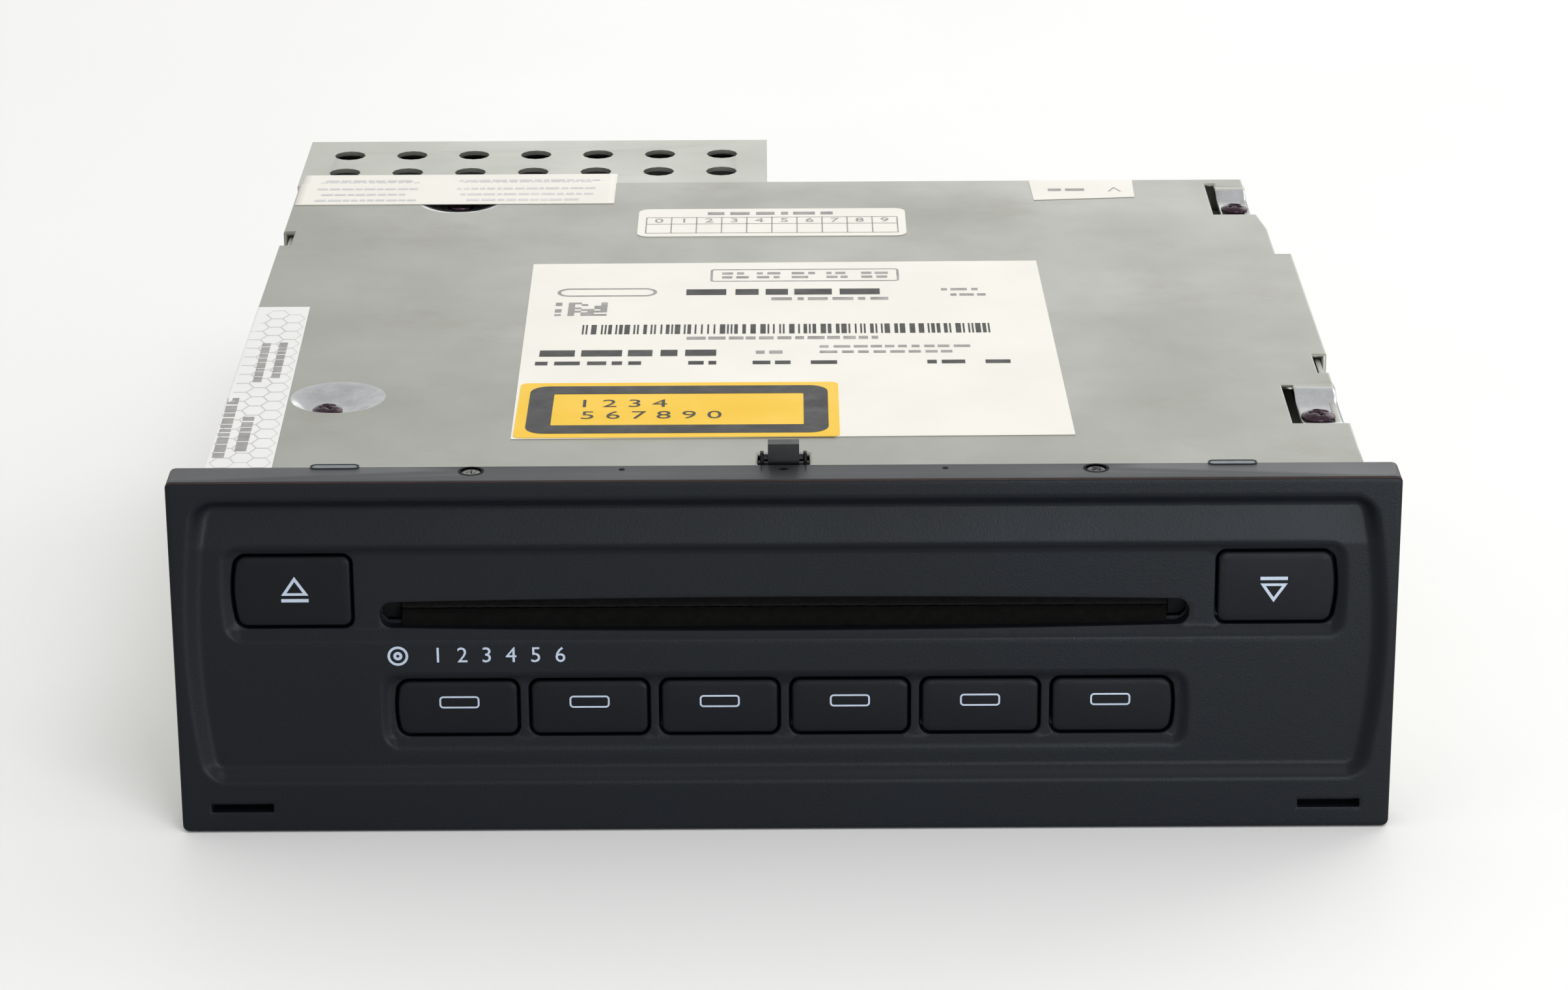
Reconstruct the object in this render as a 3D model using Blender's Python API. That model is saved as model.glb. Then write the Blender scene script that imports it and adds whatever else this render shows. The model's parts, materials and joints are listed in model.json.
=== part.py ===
"""Car CD changer: single-slot dashboard player with a six-tray lift and a swinging play arm.

Metres, +Z up. The face looks along -Y, and the origin is under the middle of the whole box.
"""
import math

import bmesh
import bpy
from mathutils import Matrix, Vector

# Driving dimensions: the disc and the stack of trays. Everything else follows from them and from clearances
DISC_RADIUS = 0.0600
DISC_THICKNESS = 0.0012
DISC_LEVEL = 0.0356
TRAY_COUNT = 6
TRAY_THICKNESS = 0.0007
TRAY_PITCH = 0.0022
SHEET = 0.0008
GAP = 0.0003
OVERRUN = 0.002

# Height of the unit, from the tray stack upwards
TRAY_DROP = 0.0001
FIRST_TRAY_TOP = DISC_LEVEL - DISC_THICKNESS / 2 - TRAY_DROP
TRAY_STACK_TOP = FIRST_TRAY_TOP + (TRAY_COUNT - 1) * TRAY_PITCH
STACK_HEADROOM = 0.0057
TOP_PLATE_BOTTOM = TRAY_STACK_TOP + STACK_HEADROOM
TOP_PLATE_DROP = 0.0060
COVER_TOP = TOP_PLATE_BOTTOM + TOP_PLATE_DROP
COVER_DROP = 0.0004
FACE_HEIGHT = COVER_TOP + COVER_DROP

# Width of the face, from the disc outwards: slot, large buttons, valley, panel, rim
DISC_SLOT_CLEARANCE = 0.0020
DISC_SLOT_HALF = DISC_RADIUS + DISC_SLOT_CLEARANCE
LARGE_BUTTON_SPACE = 0.0043
LARGE_BUTTON_WIDTH = 0.0177
LARGE_BUTTON_INNER = DISC_SLOT_HALF + LARGE_BUTTON_SPACE
LARGE_BUTTON_OUTER = LARGE_BUTTON_INNER + LARGE_BUTTON_WIDTH
LARGE_BUTTON_MARGIN = 0.0012
VALLEY_HALF = LARGE_BUTTON_OUTER + LARGE_BUTTON_MARGIN
VALLEY_RIM = 0.0040
PANEL_HALF = VALLEY_HALF + VALLEY_RIM
PANEL_RIM = 0.0048
FACE_WIDTH = 2 * (PANEL_HALF + PANEL_RIM)

# Casing
FACE_CORNER = 0.001
BEZEL_DEPTH = 0.0066
FACE_OVERHANG = 0.005
BODY_WIDTH = FACE_WIDTH - 2 * FACE_OVERHANG
DISC_FRONT_SPACE = 0.0320
DISC_REAR_SPACE = 0.0090
DISC_CENTRE_BACK = DISC_FRONT_SPACE + DISC_RADIUS
BODY_DEPTH = DISC_CENTRE_BACK + DISC_RADIUS + DISC_REAR_SPACE
HOOD_DEPTH = 0.030
OVERALL_DEPTH = BODY_DEPTH + HOOD_DEPTH
FACE_Y = -OVERALL_DEPTH / 2

# Facets of round shapes, and how close two points count as one
ROUND_STEPS = 20
SMALL_STEPS = 12
ARC_STEPS = 6
CORNER_STEPS = 3
MERGE_DISTANCE = 0.000001

# Face relief: depths are measured back from the face
PANEL_BOTTOM = 0.0099
PANEL_TOP_RIM = 0.0060
PANEL_TOP = FACE_HEIGHT - PANEL_TOP_RIM
PANEL_DEPTH = 0.0016
PANEL_BULGE = 0.0010
VALLEY_BELOW_DISC = 0.0026
VALLEY_BOTTOM = DISC_LEVEL - VALLEY_BELOW_DISC
VALLEY_ABOVE_DISC = 0.0109
VALLEY_TOP = DISC_LEVEL + VALLEY_ABOVE_DISC
VALLEY_DEPTH = 0.0024
VALLEY_BULGE = 0.0008
ROW_BOTTOM = 0.0140
ROW_TOP = 0.0258
ROW_DEPTH = 0.0022
ROW_BULGE = 0.0005
FRONT_WALL_BACK = 0.0044
HOLLOW_RIM = 0.0056
HOLLOW_HALF = FACE_WIDTH / 2 - HOLLOW_RIM
HOLLOW_BOTTOM = 0.0020
HOLLOW_TOP_WALL = 0.0022
HOLLOW_TOP = FACE_HEIGHT - HOLLOW_TOP_WALL
DISC_SLOT_HEIGHT = 0.0036
DISC_SLOT_BOW = 0.0005
DISC_SLOT_CORNER = 0.0010
FOOT_SLOT_RIM = 0.0047
FOOT_SLOT_WIDTH = 0.0096
FOOT_SLOT_OUTER = FACE_WIDTH / 2 - FOOT_SLOT_RIM
FOOT_SLOT_INNER = FOOT_SLOT_OUTER - FOOT_SLOT_WIDTH
FOOT_SLOT_BOTTOM = 0.0033
FOOT_SLOT_HEIGHT = 0.0014
FOOT_SLOT_DEPTH = 0.0015
POST_RADIUS = 0.0020
POST_DEPTH = 0.0080
POST_SINK = 0.0005

# Buttons
BUTTON_COUNT = 6
ROW_INSET = 0.0007
ROW_HALF = DISC_SLOT_HALF - ROW_INSET
ROW_MARGIN = 0.001675
BUTTON_SPACE = 0.00165
BUTTON_PITCH = (2 * (ROW_HALF - ROW_MARGIN) + BUTTON_SPACE) / BUTTON_COUNT
BUTTON_WIDTH = BUTTON_PITCH - BUTTON_SPACE
BUTTON_BOTTOM = 0.0152
BUTTON_TOP = 0.0246
END_BUTTON_BULGE = 0.0006
LARGE_BUTTON_BOTTOM_MARGIN = 0.0003
LARGE_BUTTON_TOP_MARGIN = 0.0012
LARGE_BUTTON_BOTTOM = VALLEY_BOTTOM + LARGE_BUTTON_BOTTOM_MARGIN
LARGE_BUTTON_TOP = VALLEY_TOP - LARGE_BUTTON_TOP_MARGIN
LARGE_BUTTON_BULGE = 0.0008
BUTTON_PROUD = 0.0001
BUTTON_LIP = 0.0006
BUTTON_LIP_THICKNESS = 0.0010
BUTTON_STEM_LENGTH = 0.0006
BUTTON_STEM_HALF = 0.0025
BUTTON_CLEARANCE = 0.00035

# Switch mat and button board behind the face
MAT_MARGIN = 0.0010
MAT_HALF = LARGE_BUTTON_OUTER + MAT_MARGIN
MAT_BOTTOM = 0.0120
MAT_TOP_MARGIN = 0.0015
MAT_TOP = VALLEY_TOP + MAT_TOP_MARGIN
MAT_FRONT = POST_DEPTH + GAP
MAT_THICKNESS = 0.0011
DOME_RADIUS = 0.0030
DOME_HEIGHT = 0.0009
BOARD_MARGIN = 0.0010
BOARD_THICKNESS = 0.0016
POST_INSET = 0.0050
LOWER_POST_X = MAT_HALF - POST_INSET
LOWER_POST_HEIGHT = 0.0145
UPPER_POST_INSET = 0.0220
UPPER_POST_X = DISC_SLOT_HALF - UPPER_POST_INSET
UPPER_POST_RISE = 0.0089
UPPER_POST_HEIGHT = DISC_LEVEL + UPPER_POST_RISE
POSTS = ((-LOWER_POST_X, LOWER_POST_HEIGHT), (LOWER_POST_X, LOWER_POST_HEIGHT),
         (-UPPER_POST_X, UPPER_POST_HEIGHT), (UPPER_POST_X, UPPER_POST_HEIGHT))
DISC_WINDOW_MARGIN = 0.0035
DISC_WINDOW_HALF = DISC_SLOT_HALF + DISC_WINDOW_MARGIN
DISC_WINDOW_BELOW = 0.0038
DISC_WINDOW_ABOVE = 0.0040
DISC_WINDOW_BOTTOM = DISC_LEVEL - DISC_WINDOW_BELOW
DISC_WINDOW_TOP = DISC_LEVEL + DISC_WINDOW_ABOVE

# Dust lips and guide blocks in the slot
LIP_OVERLAP = 0.0010
LIP_HALF = DISC_SLOT_HALF + LIP_OVERLAP
LIP_HEIGHT = 0.0040
LIP_THICKNESS = 0.0006
LIP_OPENING = 0.0044
GUIDE_REACH = 0.0028
GUIDE_WIDTH = 0.0053
GUIDE_INNER = DISC_SLOT_HALF - GUIDE_REACH
GUIDE_OUTER = GUIDE_INNER + GUIDE_WIDTH
GUIDE_HALF_HEIGHT = 0.0026
GUIDE_LENGTH = 0.0022

# Screws, snaps and catch along the top edge
SNAP_INSET = 0.0254
SNAP_X = FACE_WIDTH / 2 - SNAP_INSET
TOP_SCREW_SPACE = 0.0209
TOP_SCREW_X = SNAP_X - TOP_SCREW_SPACE
TOP_SCREW_BACK = 0.0046
TOP_SCREW_HEAD_RADIUS = 0.00165
TOP_SCREW_HEAD = 0.0009
TOP_SCREW_SHANK_RADIUS = 0.0008
TOP_SCREW_LENGTH = 0.0040
TOP_SCREW_SINK = 0.0012
CROSS_WIDTH = 0.0005
CROSS_DEPTH = 0.0005
TAB_HALF = 0.0050
TAB_DROP = 0.0028
TAB_TOP = FACE_HEIGHT - TAB_DROP
TAB_FRONT = 0.0036
TAB_POCKET_DROP = 0.0050
TAB_POCKET_BOTTOM = FACE_HEIGHT - TAB_POCKET_DROP
TAB_POCKET_FRONT = 0.0032
SNAP_HALF = 0.0030
SNAP_LENGTH = 0.0040
SNAP_DROP = 0.0037
SNAP_BOTTOM = FACE_HEIGHT - SNAP_DROP
SNAP_THICKNESS = 0.0015
SNAP_NUB_LENGTH = 0.0010
SNAP_NUB_DROP = 0.0007
SNAP_NUB_TOP = FACE_HEIGHT - SNAP_NUB_DROP
SNAP_SLOT_HALF = 0.0038
SNAP_SLOT_FRONT = 0.0076
SNAP_SLOT_WIDTH = 0.0018
SNAP_SLOT_CORNER = 0.0008
CATCH_HALF = 0.0024
CATCH_FRONT = 0.0074
CATCH_DEPTH = 0.0028
CATCH_SINK = 0.0008
CATCH_RISE = 0.0031
CATCH_PIN_RISE = 0.0004
CATCH_EAR_SINK = 0.0020
CATCH_BOTTOM = FACE_HEIGHT - CATCH_SINK
CATCH_TOP = FACE_HEIGHT + CATCH_RISE
CATCH_PIN_HEIGHT = FACE_HEIGHT + CATCH_PIN_RISE
CATCH_PIN_RADIUS = 0.0006
CATCH_CORNER = 0.0006
CATCH_EAR_INNER = 0.00305
CATCH_EAR_THICKNESS = 0.00055
CATCH_EAR_RADIUS = 0.0011
CATCH_EAR_BOTTOM = FACE_HEIGHT - CATCH_EAR_SINK
CATCH_WINDOW_HALF = 0.0040
CATCH_WINDOW_REAR = 0.0132

# Top cover outline on its right side: places as (distance from the middle, distance behind the face)
COVER_FRONT = BEZEL_DEPTH + GAP
COVER_HALF = BODY_WIDTH / 2
FLANGE_DROP = 0.0126
TONGUE_SLOT_FRONT = 0.0260
TONGUE_SLOT_INSET = 0.0090
TONGUE_SLOT_INNER = COVER_HALF - TONGUE_SLOT_INSET
TONGUE_INSET = 0.0072
TONGUE_INNER = COVER_HALF - TONGUE_INSET
TONGUE_MARGIN = 0.0006
TONGUE_OUTER = COVER_HALF - TONGUE_MARGIN
TONGUE_TIP = 0.0275
TONGUE_SLOT_REAR = 0.0445
TONGUE_ROOT = 0.0505
EDGE_NOTCH_DEPTH = 0.0024
EDGE_NOTCH_INNER = COVER_HALF - EDGE_NOTCH_DEPTH
EDGE_NOTCH_REAR = 0.0600
REAR_STEP_FRONT_SPACE = 0.0460
REAR_STEP_FRONT = BODY_DEPTH - REAR_STEP_FRONT_SPACE
REAR_STEP_DEPTH = 0.0028
REAR_STEP_INNER = COVER_HALF - REAR_STEP_DEPTH
REAR_STEP_REAR_SPACE = 0.0310
REAR_STEP_REAR = BODY_DEPTH - REAR_STEP_REAR_SPACE
CORNER_SLOT_MARGIN = 0.0038
CORNER_SLOT_OUTER = COVER_HALF - CORNER_SLOT_MARGIN
CORNER_SLOT_FRONT_SPACE = 0.0222
CORNER_SLOT_FRONT = BODY_DEPTH - CORNER_SLOT_FRONT_SPACE
CORNER_SLOT_WIDTH = 0.0016
CORNER_SLOT_INSET = 0.0115
CORNER_SLOT_INNER = COVER_HALF - CORNER_SLOT_INSET
CORNER_SLOT_REAR_SPACE = 0.0030
CORNER_SLOT_REAR = BODY_DEPTH - CORNER_SLOT_REAR_SPACE
CORNER_EDGE_INSET = 0.0045
CORNER_EDGE = COVER_HALF - CORNER_EDGE_INSET
LEFT_NOTCH_DEPTH = 0.0020
LEFT_NOTCH_FRONT_SPACE = 0.0380
LEFT_NOTCH_FRONT = BODY_DEPTH - LEFT_NOTCH_FRONT_SPACE
LEFT_NOTCH_REAR_SPACE = 0.0300
LEFT_NOTCH_REAR = BODY_DEPTH - LEFT_NOTCH_REAR_SPACE
DIMPLE_RADIUS = 0.0075
DIMPLE_FLOOR_RADIUS = 0.0058
DIMPLE_DEPTH = 0.0012
FRONT_DIMPLE_INSET = 0.0178
REAR_DIMPLE_INSET = 0.0304
FRONT_SCREW_INSET = 0.0164
FRONT_DIMPLE_BACK = 0.0405
FRONT_SCREW_BACK = 0.0370
REAR_DIMPLE_SPACE = 0.0115
REAR_DIMPLE = (REAR_DIMPLE_INSET - COVER_HALF, BODY_DEPTH - REAR_DIMPLE_SPACE)
DIMPLES = ((FRONT_DIMPLE_INSET - COVER_HALF, FRONT_DIMPLE_BACK), REAR_DIMPLE)
COVER_SCREWS = ((FRONT_SCREW_INSET - COVER_HALF, FRONT_SCREW_BACK), REAR_DIMPLE)
COVER_SCREW_NAMES = ("cover_screw_front", "cover_screw_rear")
COVER_SCREW_HEAD_RADIUS = 0.0024
COVER_SCREW_HEAD = 0.0010
COVER_SCREW_SHANK_RADIUS = 0.0011
COVER_SCREW_LENGTH = 0.0036
SCREW_HOLE_CLEARANCE = 0.0004
BRACKET_TAB_DROP = 0.0036
BRACKET_TAB_TOP = COVER_TOP - BRACKET_TAB_DROP
BRACKET_TAB_HALF = 0.0050

# Chassis, vent hood and harness socket
WALL_TOP = COVER_TOP - SHEET - GAP
CHASSIS_FRONT = 0.0120
CORNER_WALL_OUTER = CORNER_EDGE - GAP
CORNER_WALL_LEAD = 0.0006
CORNER_WALL_FRONT = REAR_STEP_FRONT - CORNER_WALL_LEAD
CORNER_WALL_DROP = 0.0136
CORNER_WALL_BOTTOM = COVER_TOP - CORNER_WALL_DROP
BOARD_BOSS_RADIUS = 0.0030
MAIN_BOARD_BOTTOM = 0.0024
MAIN_BOARD_INSET = 0.0170
MAIN_BOARD_HALF = COVER_HALF - MAIN_BOARD_INSET
MAIN_BOARD_FRONT = 0.0180
MAIN_BOARD_REAR_SPACE = 0.0050
MAIN_BOARD_REAR = BODY_DEPTH - MAIN_BOARD_REAR_SPACE
BOSS_INSET = 0.0060
HOOD_OVERHANG = 0.0005
HOOD_LEFT = -(COVER_HALF + HOOD_OVERHANG)
HOOD_RIGHT = -0.0030
HOOD_STEP = 0.0006
HOOD_TOP = COVER_TOP - HOOD_STEP
HOOD_DROP = 0.0130
VENT_COLUMNS = 7
VENT_LEFT_INSET = 0.0080
VENT_RIGHT_INSET = 0.00842
VENT_FIRST_X = HOOD_LEFT + VENT_LEFT_INSET
VENT_PITCH = (HOOD_RIGHT - VENT_RIGHT_INSET - VENT_FIRST_X) / (VENT_COLUMNS - 1)
VENT_ROW_SPACES = (0.0090, 0.0205)
VENT_ROWS = tuple(BODY_DEPTH + space for space in VENT_ROW_SPACES)
VENT_RADIUS = 0.0029
SOCKET_LEFT_INSET = 0.0145
SOCKET_RIGHT_INSET = 0.0220
SOCKET_LEFT = HOOD_LEFT + SOCKET_LEFT_INSET
SOCKET_RIGHT = HOOD_RIGHT - SOCKET_RIGHT_INSET
SOCKET_BOTTOM = 0.0100
SOCKET_HOOD_SPACE = 0.0060
SOCKET_TOP = HOOD_TOP - HOOD_DROP - SOCKET_HOOD_SPACE
SOCKET_LENGTH = 0.0180
SOCKET_WALL = 0.0020
SOCKET_FLOOR = 0.0030

# Main board chips: centre across, distance behind the face, width, length, height
CHIPS = (
    (-0.0250, 0.0700, 0.0200, 0.0200, 0.0015),
    (0.0180, 0.0750, 0.0140, 0.0140, 0.0015),
    (-0.0100, 0.1100, 0.0260, 0.0100, 0.0015),
    (0.0280, 0.1150, 0.0120, 0.0160, 0.0018),
)

# Mechanism frame
BASE_INSET = 0.0060
BASE_HALF = COVER_HALF - BASE_INSET
DAMPER_INSET = 0.0040
DAMPER_X = BASE_HALF - DAMPER_INSET
DAMPER_FRONT = 0.0240
DAMPER_REAR_SPACE = 0.0150
DAMPER_BACKS = (DAMPER_FRONT, BODY_DEPTH - DAMPER_REAR_SPACE)
DAMPER_RADIUS = 0.0040
DAMPER_WAIST = 0.0030
BASE_BOTTOM = 0.0060
BASE_THICKNESS = 0.0010
BASE_FRONT = 0.0150
BASE_REAR_SPACE = 0.0030
BASE_REAR = BODY_DEPTH - BASE_REAR_SPACE
BASE_WINDOW_INSET = 0.0380
BASE_WINDOW_HALF = BASE_HALF - BASE_WINDOW_INSET
BASE_WINDOW_FRONT = 0.0550
BASE_WINDOW_SPACE = 0.0310
BASE_WINDOW_REAR = BODY_DEPTH - BASE_WINDOW_SPACE
MECH_WALL_FRONT = 0.0200
MECH_WALL_SPACE = 0.0060
MECH_WALL_REAR = BODY_DEPTH - MECH_WALL_SPACE
MECH_WINDOW_FRONT = 0.0600
MECH_WINDOW_SPACE = 0.0210
MECH_WINDOW_REAR = BODY_DEPTH - MECH_WINDOW_SPACE
MECH_WINDOW_BOTTOM = 0.0250
MECH_WINDOW_ABOVE_DISC = 0.0084
MECH_WINDOW_TOP = DISC_LEVEL + MECH_WINDOW_ABOVE_DISC
TOP_WINDOW_INSET = 0.0310
TOP_WINDOW_HALF = BASE_HALF - TOP_WINDOW_INSET
TOP_WINDOW_FRONT = 0.0450
TOP_WINDOW_SPACE = 0.0210
TOP_WINDOW_REAR = BODY_DEPTH - TOP_WINDOW_SPACE

# Trays and tray lift
TRAY_INSET = 0.0120
TRAY_HALF = BASE_HALF - TRAY_INSET
TRAY_FRONT = 0.0332
TRAY_REAR_SPACE = 0.0040
TRAY_REAR = BODY_DEPTH - TRAY_REAR_SPACE
TRAY_CORNER = 0.0140
TRAY_SIDE = 0.0240
TRAY_HOLE_RADIUS = TRAY_HALF - TRAY_SIDE
FRONT_LIFT_INSET = 0.0050
FRONT_LIFT_X = TRAY_HALF - FRONT_LIFT_INSET
FRONT_LIFT_BACK = 0.0390
REAR_LIFT_INSET = 0.0310
REAR_LIFT_X = TRAY_HALF - REAR_LIFT_INSET
REAR_LIFT_SPACE = 0.0090
REAR_LIFT_BACK = BODY_DEPTH - REAR_LIFT_SPACE
LIFT_SCREWS = (
    ("front_left", -FRONT_LIFT_X, FRONT_LIFT_BACK),
    ("front_right", FRONT_LIFT_X, FRONT_LIFT_BACK),
    ("rear_left", -REAR_LIFT_X, REAR_LIFT_BACK),
    ("rear_right", REAR_LIFT_X, REAR_LIFT_BACK),
)
LIFT_LEAD = 0.0044
LIFT_RADIUS = 0.0030
LIFT_GROOVE = 0.0005
LIFT_THREAD_BOTTOM = 0.0212
LIFT_THREAD_SPACE = 0.0018
LIFT_THREAD_TURNS = (TOP_PLATE_BOTTOM - LIFT_THREAD_SPACE - LIFT_THREAD_BOTTOM) / LIFT_LEAD
LIFT_RINGS_PER_TURN = 4
LIFT_STEPS = 8
LIFT_SHAFT_RADIUS = 0.0015
LIFT_TOP = TOP_PLATE_BOTTOM + 2 * SHEET
LIFT_CLEARANCE = 0.0004
PULLEY_RADIUS = 0.0045
PULLEY_BOTTOM = 0.0044
PULLEY_THICKNESS = 0.0012
BELT_THICKNESS = 0.0008
LIFT_GEAR_TEETH = 26
LIFT_PINION_TEETH = 10
LIFT_MODULE = 0.0008
LIFT_GEAR_BOTTOM = 0.0076
GEAR_THICKNESS = 0.0020
LIFT_MOTOR_ANGLE = math.radians(60)
LIFT_MOTOR_RADIUS = 0.0070
LIFT_MOTOR_TOP = 0.0225
MOTOR_PLATE_BOTTOM = 0.0099
MOTOR_PLATE_HALF = 0.0075
MOTOR_SHAFT_RADIUS = 0.0010

# Disc loading
ROLLER_BACK = 0.0260
ROLLER_RADIUS = 0.0042
ROLLER_WAIST_RADIUS = 0.0038
ROLLER_INSET = 0.0020
ROLLER_HALF = DISC_SLOT_HALF - ROLLER_INSET
ROLLER_SHAFT_RADIUS = 0.00125
BRACKET_CLEARANCE = 0.0016
BRACKET_INNER = ROLLER_HALF + BRACKET_CLEARANCE
BRACKET_THICKNESS = 0.0010
BRACKET_HALF_DEPTH = 0.0065
BRACKET_FOOT_REACH = 0.0018
BRACKET_FOOT_TOP = 0.0110
SHAFT_HOLE_CLEARANCE = 0.0003
DISC_GUIDE_RISE = 0.0021
DISC_GUIDE_BOTTOM = DISC_LEVEL + DISC_GUIDE_RISE
LOADING_MODULE = 0.0006
ROLLER_TEETH = 18
IDLER_TEETH = 20
LOADING_PINION_TEETH = 10
LOADING_GEAR_GAP = 0.0014
LOADING_GEAR_X = BRACKET_INNER + BRACKET_THICKNESS + LOADING_GEAR_GAP
LOADING_MOTOR_ANGLE = math.radians(225)
LOADING_MOTOR_RADIUS = 0.0050
LOADING_MOTOR_GAP = 0.0023
LOADING_MOTOR_X = LOADING_GEAR_X + GEAR_THICKNESS + LOADING_MOTOR_GAP
LOADING_MOTOR_END_GAP = 0.0014
LOADING_MOTOR_LENGTH = BASE_HALF - SHEET - LOADING_MOTOR_END_GAP - LOADING_MOTOR_X
SADDLE_HALF = 0.0030

# Play arm: lengths run from the pivot along the arm, sides across it
ARM_PIVOT_INSET = 0.0160
ARM_PIVOT_X = ARM_PIVOT_INSET - BASE_HALF
ARM_PIVOT_SPACE = 0.0110
ARM_PIVOT_BACK = BODY_DEPTH - ARM_PIVOT_SPACE
ARM_LENGTH = math.hypot(ARM_PIVOT_X, ARM_PIVOT_BACK - DISC_CENTRE_BACK)
ARM_BOTTOM = 0.0119
ARM_THICKNESS = 0.0010
ARM_HALF = 0.0145
ARM_ROOT_RADIUS = 0.0075
ARM_SHOULDER = 0.0080
ARM_TIP_RADIUS = 0.0135
ARM_TIP_ANGLE = math.radians(60)
ARM_HUB_RADIUS = 0.0060
ARM_HUB_BOTTOM = 0.0100
ARM_HUB_TOP = 0.0140
PIVOT_RADIUS = 0.0030
PIVOT_TOP = 0.0146
PIVOT_COLLAR_RADIUS = 0.0050
ARM_WINDOW_START = 0.0240
ARM_WINDOW_INSET = 0.0106
ARM_WINDOW_END = ARM_LENGTH - ARM_WINDOW_INSET
ARM_WINDOW_HALF = 0.0092
ROD_SIDE = 0.0115
ROD_HEIGHT = 0.0098
ROD_RADIUS = 0.0010
ROD_START = 0.0200
ROD_INSET = 0.0066
ROD_END = ARM_LENGTH - ROD_INSET
ROD_TAB_START = 0.0220
ROD_TAB_INSET = 0.0096
ROD_TAB_STARTS = (ROD_TAB_START, ARM_LENGTH - ROD_TAB_INSET)
ROD_TAB_LENGTH = 0.0020
ROD_TAB_HALF = 0.0018
ROD_TAB_BOTTOM = 0.0080
SPINDLE_MOTOR_RADIUS = 0.0110
SPINDLE_MOTOR_BOTTOM = 0.0080
SPINDLE_SHAFT_RADIUS = 0.0010
SPINDLE_HOLE_RADIUS = 0.0025
TURNTABLE_RADIUS = 0.0130
TURNTABLE_BOTTOM = 0.0133
TURNTABLE_THICKNESS = 0.0018
CONE_RADIUS = 0.0073
CONE_TOP_RADIUS = 0.0058
CONE_HEIGHT = 0.0014
PICKUP_CENTRE = (ARM_WINDOW_START + ARM_WINDOW_END) / 2
PICKUP_HALF_LENGTH = 0.0090
PICKUP_HALF_WIDTH = 0.0085
PICKUP_BOTTOM = 0.0086
PICKUP_TOP = 0.0132
PICKUP_LUG_HALF = 0.0050
PICKUP_LUG_OUTER = 0.0136
PICKUP_LUG_BOTTOM = 0.0080
PICKUP_LUG_TOP = 0.0116
LENS_RADIUS = 0.0034
LENS_TOP = 0.0142
FEED_LEAD = 0.0040
FEED_GROOVE = 0.0002
FEED_RADIUS = 0.0011
FEED_RINGS_PER_TURN = 3
FEED_MOTOR_START = 0.0068
FEED_MOTOR_END = 0.0197
FEED_MOTOR_HALF = 0.0036
FEED_MOTOR_BOTTOM = 0.0078
FEED_MOTOR_CORNER = 0.0012
EAR_CENTRE = 0.0100
EAR_HALF = 0.0030
EAR_INNER = 0.0126
EAR_THICKNESS = 0.0012
HINGE_HEIGHT = 0.0197
HINGE_RADIUS = 0.0008
EAR_TOP = 0.0213
CLAMP_THICKNESS = 0.0010
CLAMP_ROOT_HALF = 0.0121
CLAMP_TIP_HALF = 0.0085
CLAMP_START = 0.0070
CLAMP_HOLE_RADIUS = 0.0052
CLAMPER_RADIUS = 0.0120
CLAMPER_BOTTOM = 0.0169
CLAMPER_THICKNESS = 0.0018
CLAMPER_NECK_RADIUS = 0.0045
CLAMPER_CAP_RADIUS = 0.0060
CLAMPER_CAP = 0.0007

# Gear tooth form
PRESSURE_ANGLE = math.radians(20)
ADDENDUM_SHARE = 0.9
DEDENDUM_SHARE = 1.2
BACKLASH_SHARE = 0.14

# Finishes: colour, roughness, metallic
FINISHES = {
    "face_plastic": ((0.030, 0.032, 0.036), 0.55, 0.0),
    "button_plastic": ((0.026, 0.028, 0.032), 0.50, 0.0),
    "black_plastic": ((0.015, 0.015, 0.017), 0.45, 0.0),
    "zinc_sheet": ((0.42, 0.44, 0.42), 0.40, 0.9),
    "steel": ((0.55, 0.55, 0.56), 0.30, 1.0),
    "brass": ((0.60, 0.45, 0.20), 0.35, 1.0),
    "rubber": ((0.020, 0.020, 0.020), 0.85, 0.0),
    "felt": ((0.012, 0.012, 0.012), 0.95, 0.0),
    "board_green": ((0.020, 0.110, 0.050), 0.55, 0.0),
    "white_plastic": ((0.70, 0.70, 0.66), 0.45, 0.0),
    "motor_can": ((0.50, 0.50, 0.50), 0.28, 1.0),
    "pickup_black": ((0.03, 0.03, 0.03), 0.40, 0.0),
}
SMOOTH_ANGLE = math.radians(35)


def back(distance):
    """World Y of a place this far behind the face."""
    return FACE_Y + distance


def finish(name):
    """One Principled material per finish, made once."""
    material = bpy.data.materials.get(name)
    if material is None:
        colour, roughness, metallic = FINISHES[name]
        material = bpy.data.materials.new(name)
        material.use_nodes = True
        shader = material.node_tree.nodes["Principled BSDF"]
        shader.inputs["Base Color"].default_value = (*colour, 1.0)
        shader.inputs["Roughness"].default_value = roughness
        shader.inputs["Metallic"].default_value = metallic
    return material


# Outlines, as lists of (first, second) in the plane of a solid

def rectangle(left, right, bottom, top):
    return [(left, bottom), (right, bottom), (right, top), (left, top)]


def circle(centre, radius, steps=SMALL_STEPS, turn=0.0):
    points = []
    for step in range(steps):
        angle = turn + math.tau * step / steps
        points.append((centre[0] + radius * math.cos(angle), centre[1] + radius * math.sin(angle)))
    return points


def arc(centre, radius, start, end, steps=ARC_STEPS):
    """Points along an arc, both ends included."""
    points = []
    for step in range(steps + 1):
        angle = start + (end - start) * step / steps
        points.append((centre[0] + radius * math.cos(angle), centre[1] + radius * math.sin(angle)))
    return points


def rounded_rectangle(left, right, bottom, top, radius):
    quarter = math.pi / 2
    steps = CORNER_STEPS
    points = arc((left + radius, bottom + radius), radius, math.pi, math.pi + quarter, steps)
    points += arc((right - radius, bottom + radius), radius, -quarter, 0, steps)
    points += arc((right - radius, top - radius), radius, 0, quarter, steps)
    points += arc((left + radius, top - radius), radius, quarter, math.pi, steps)
    return points


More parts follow.
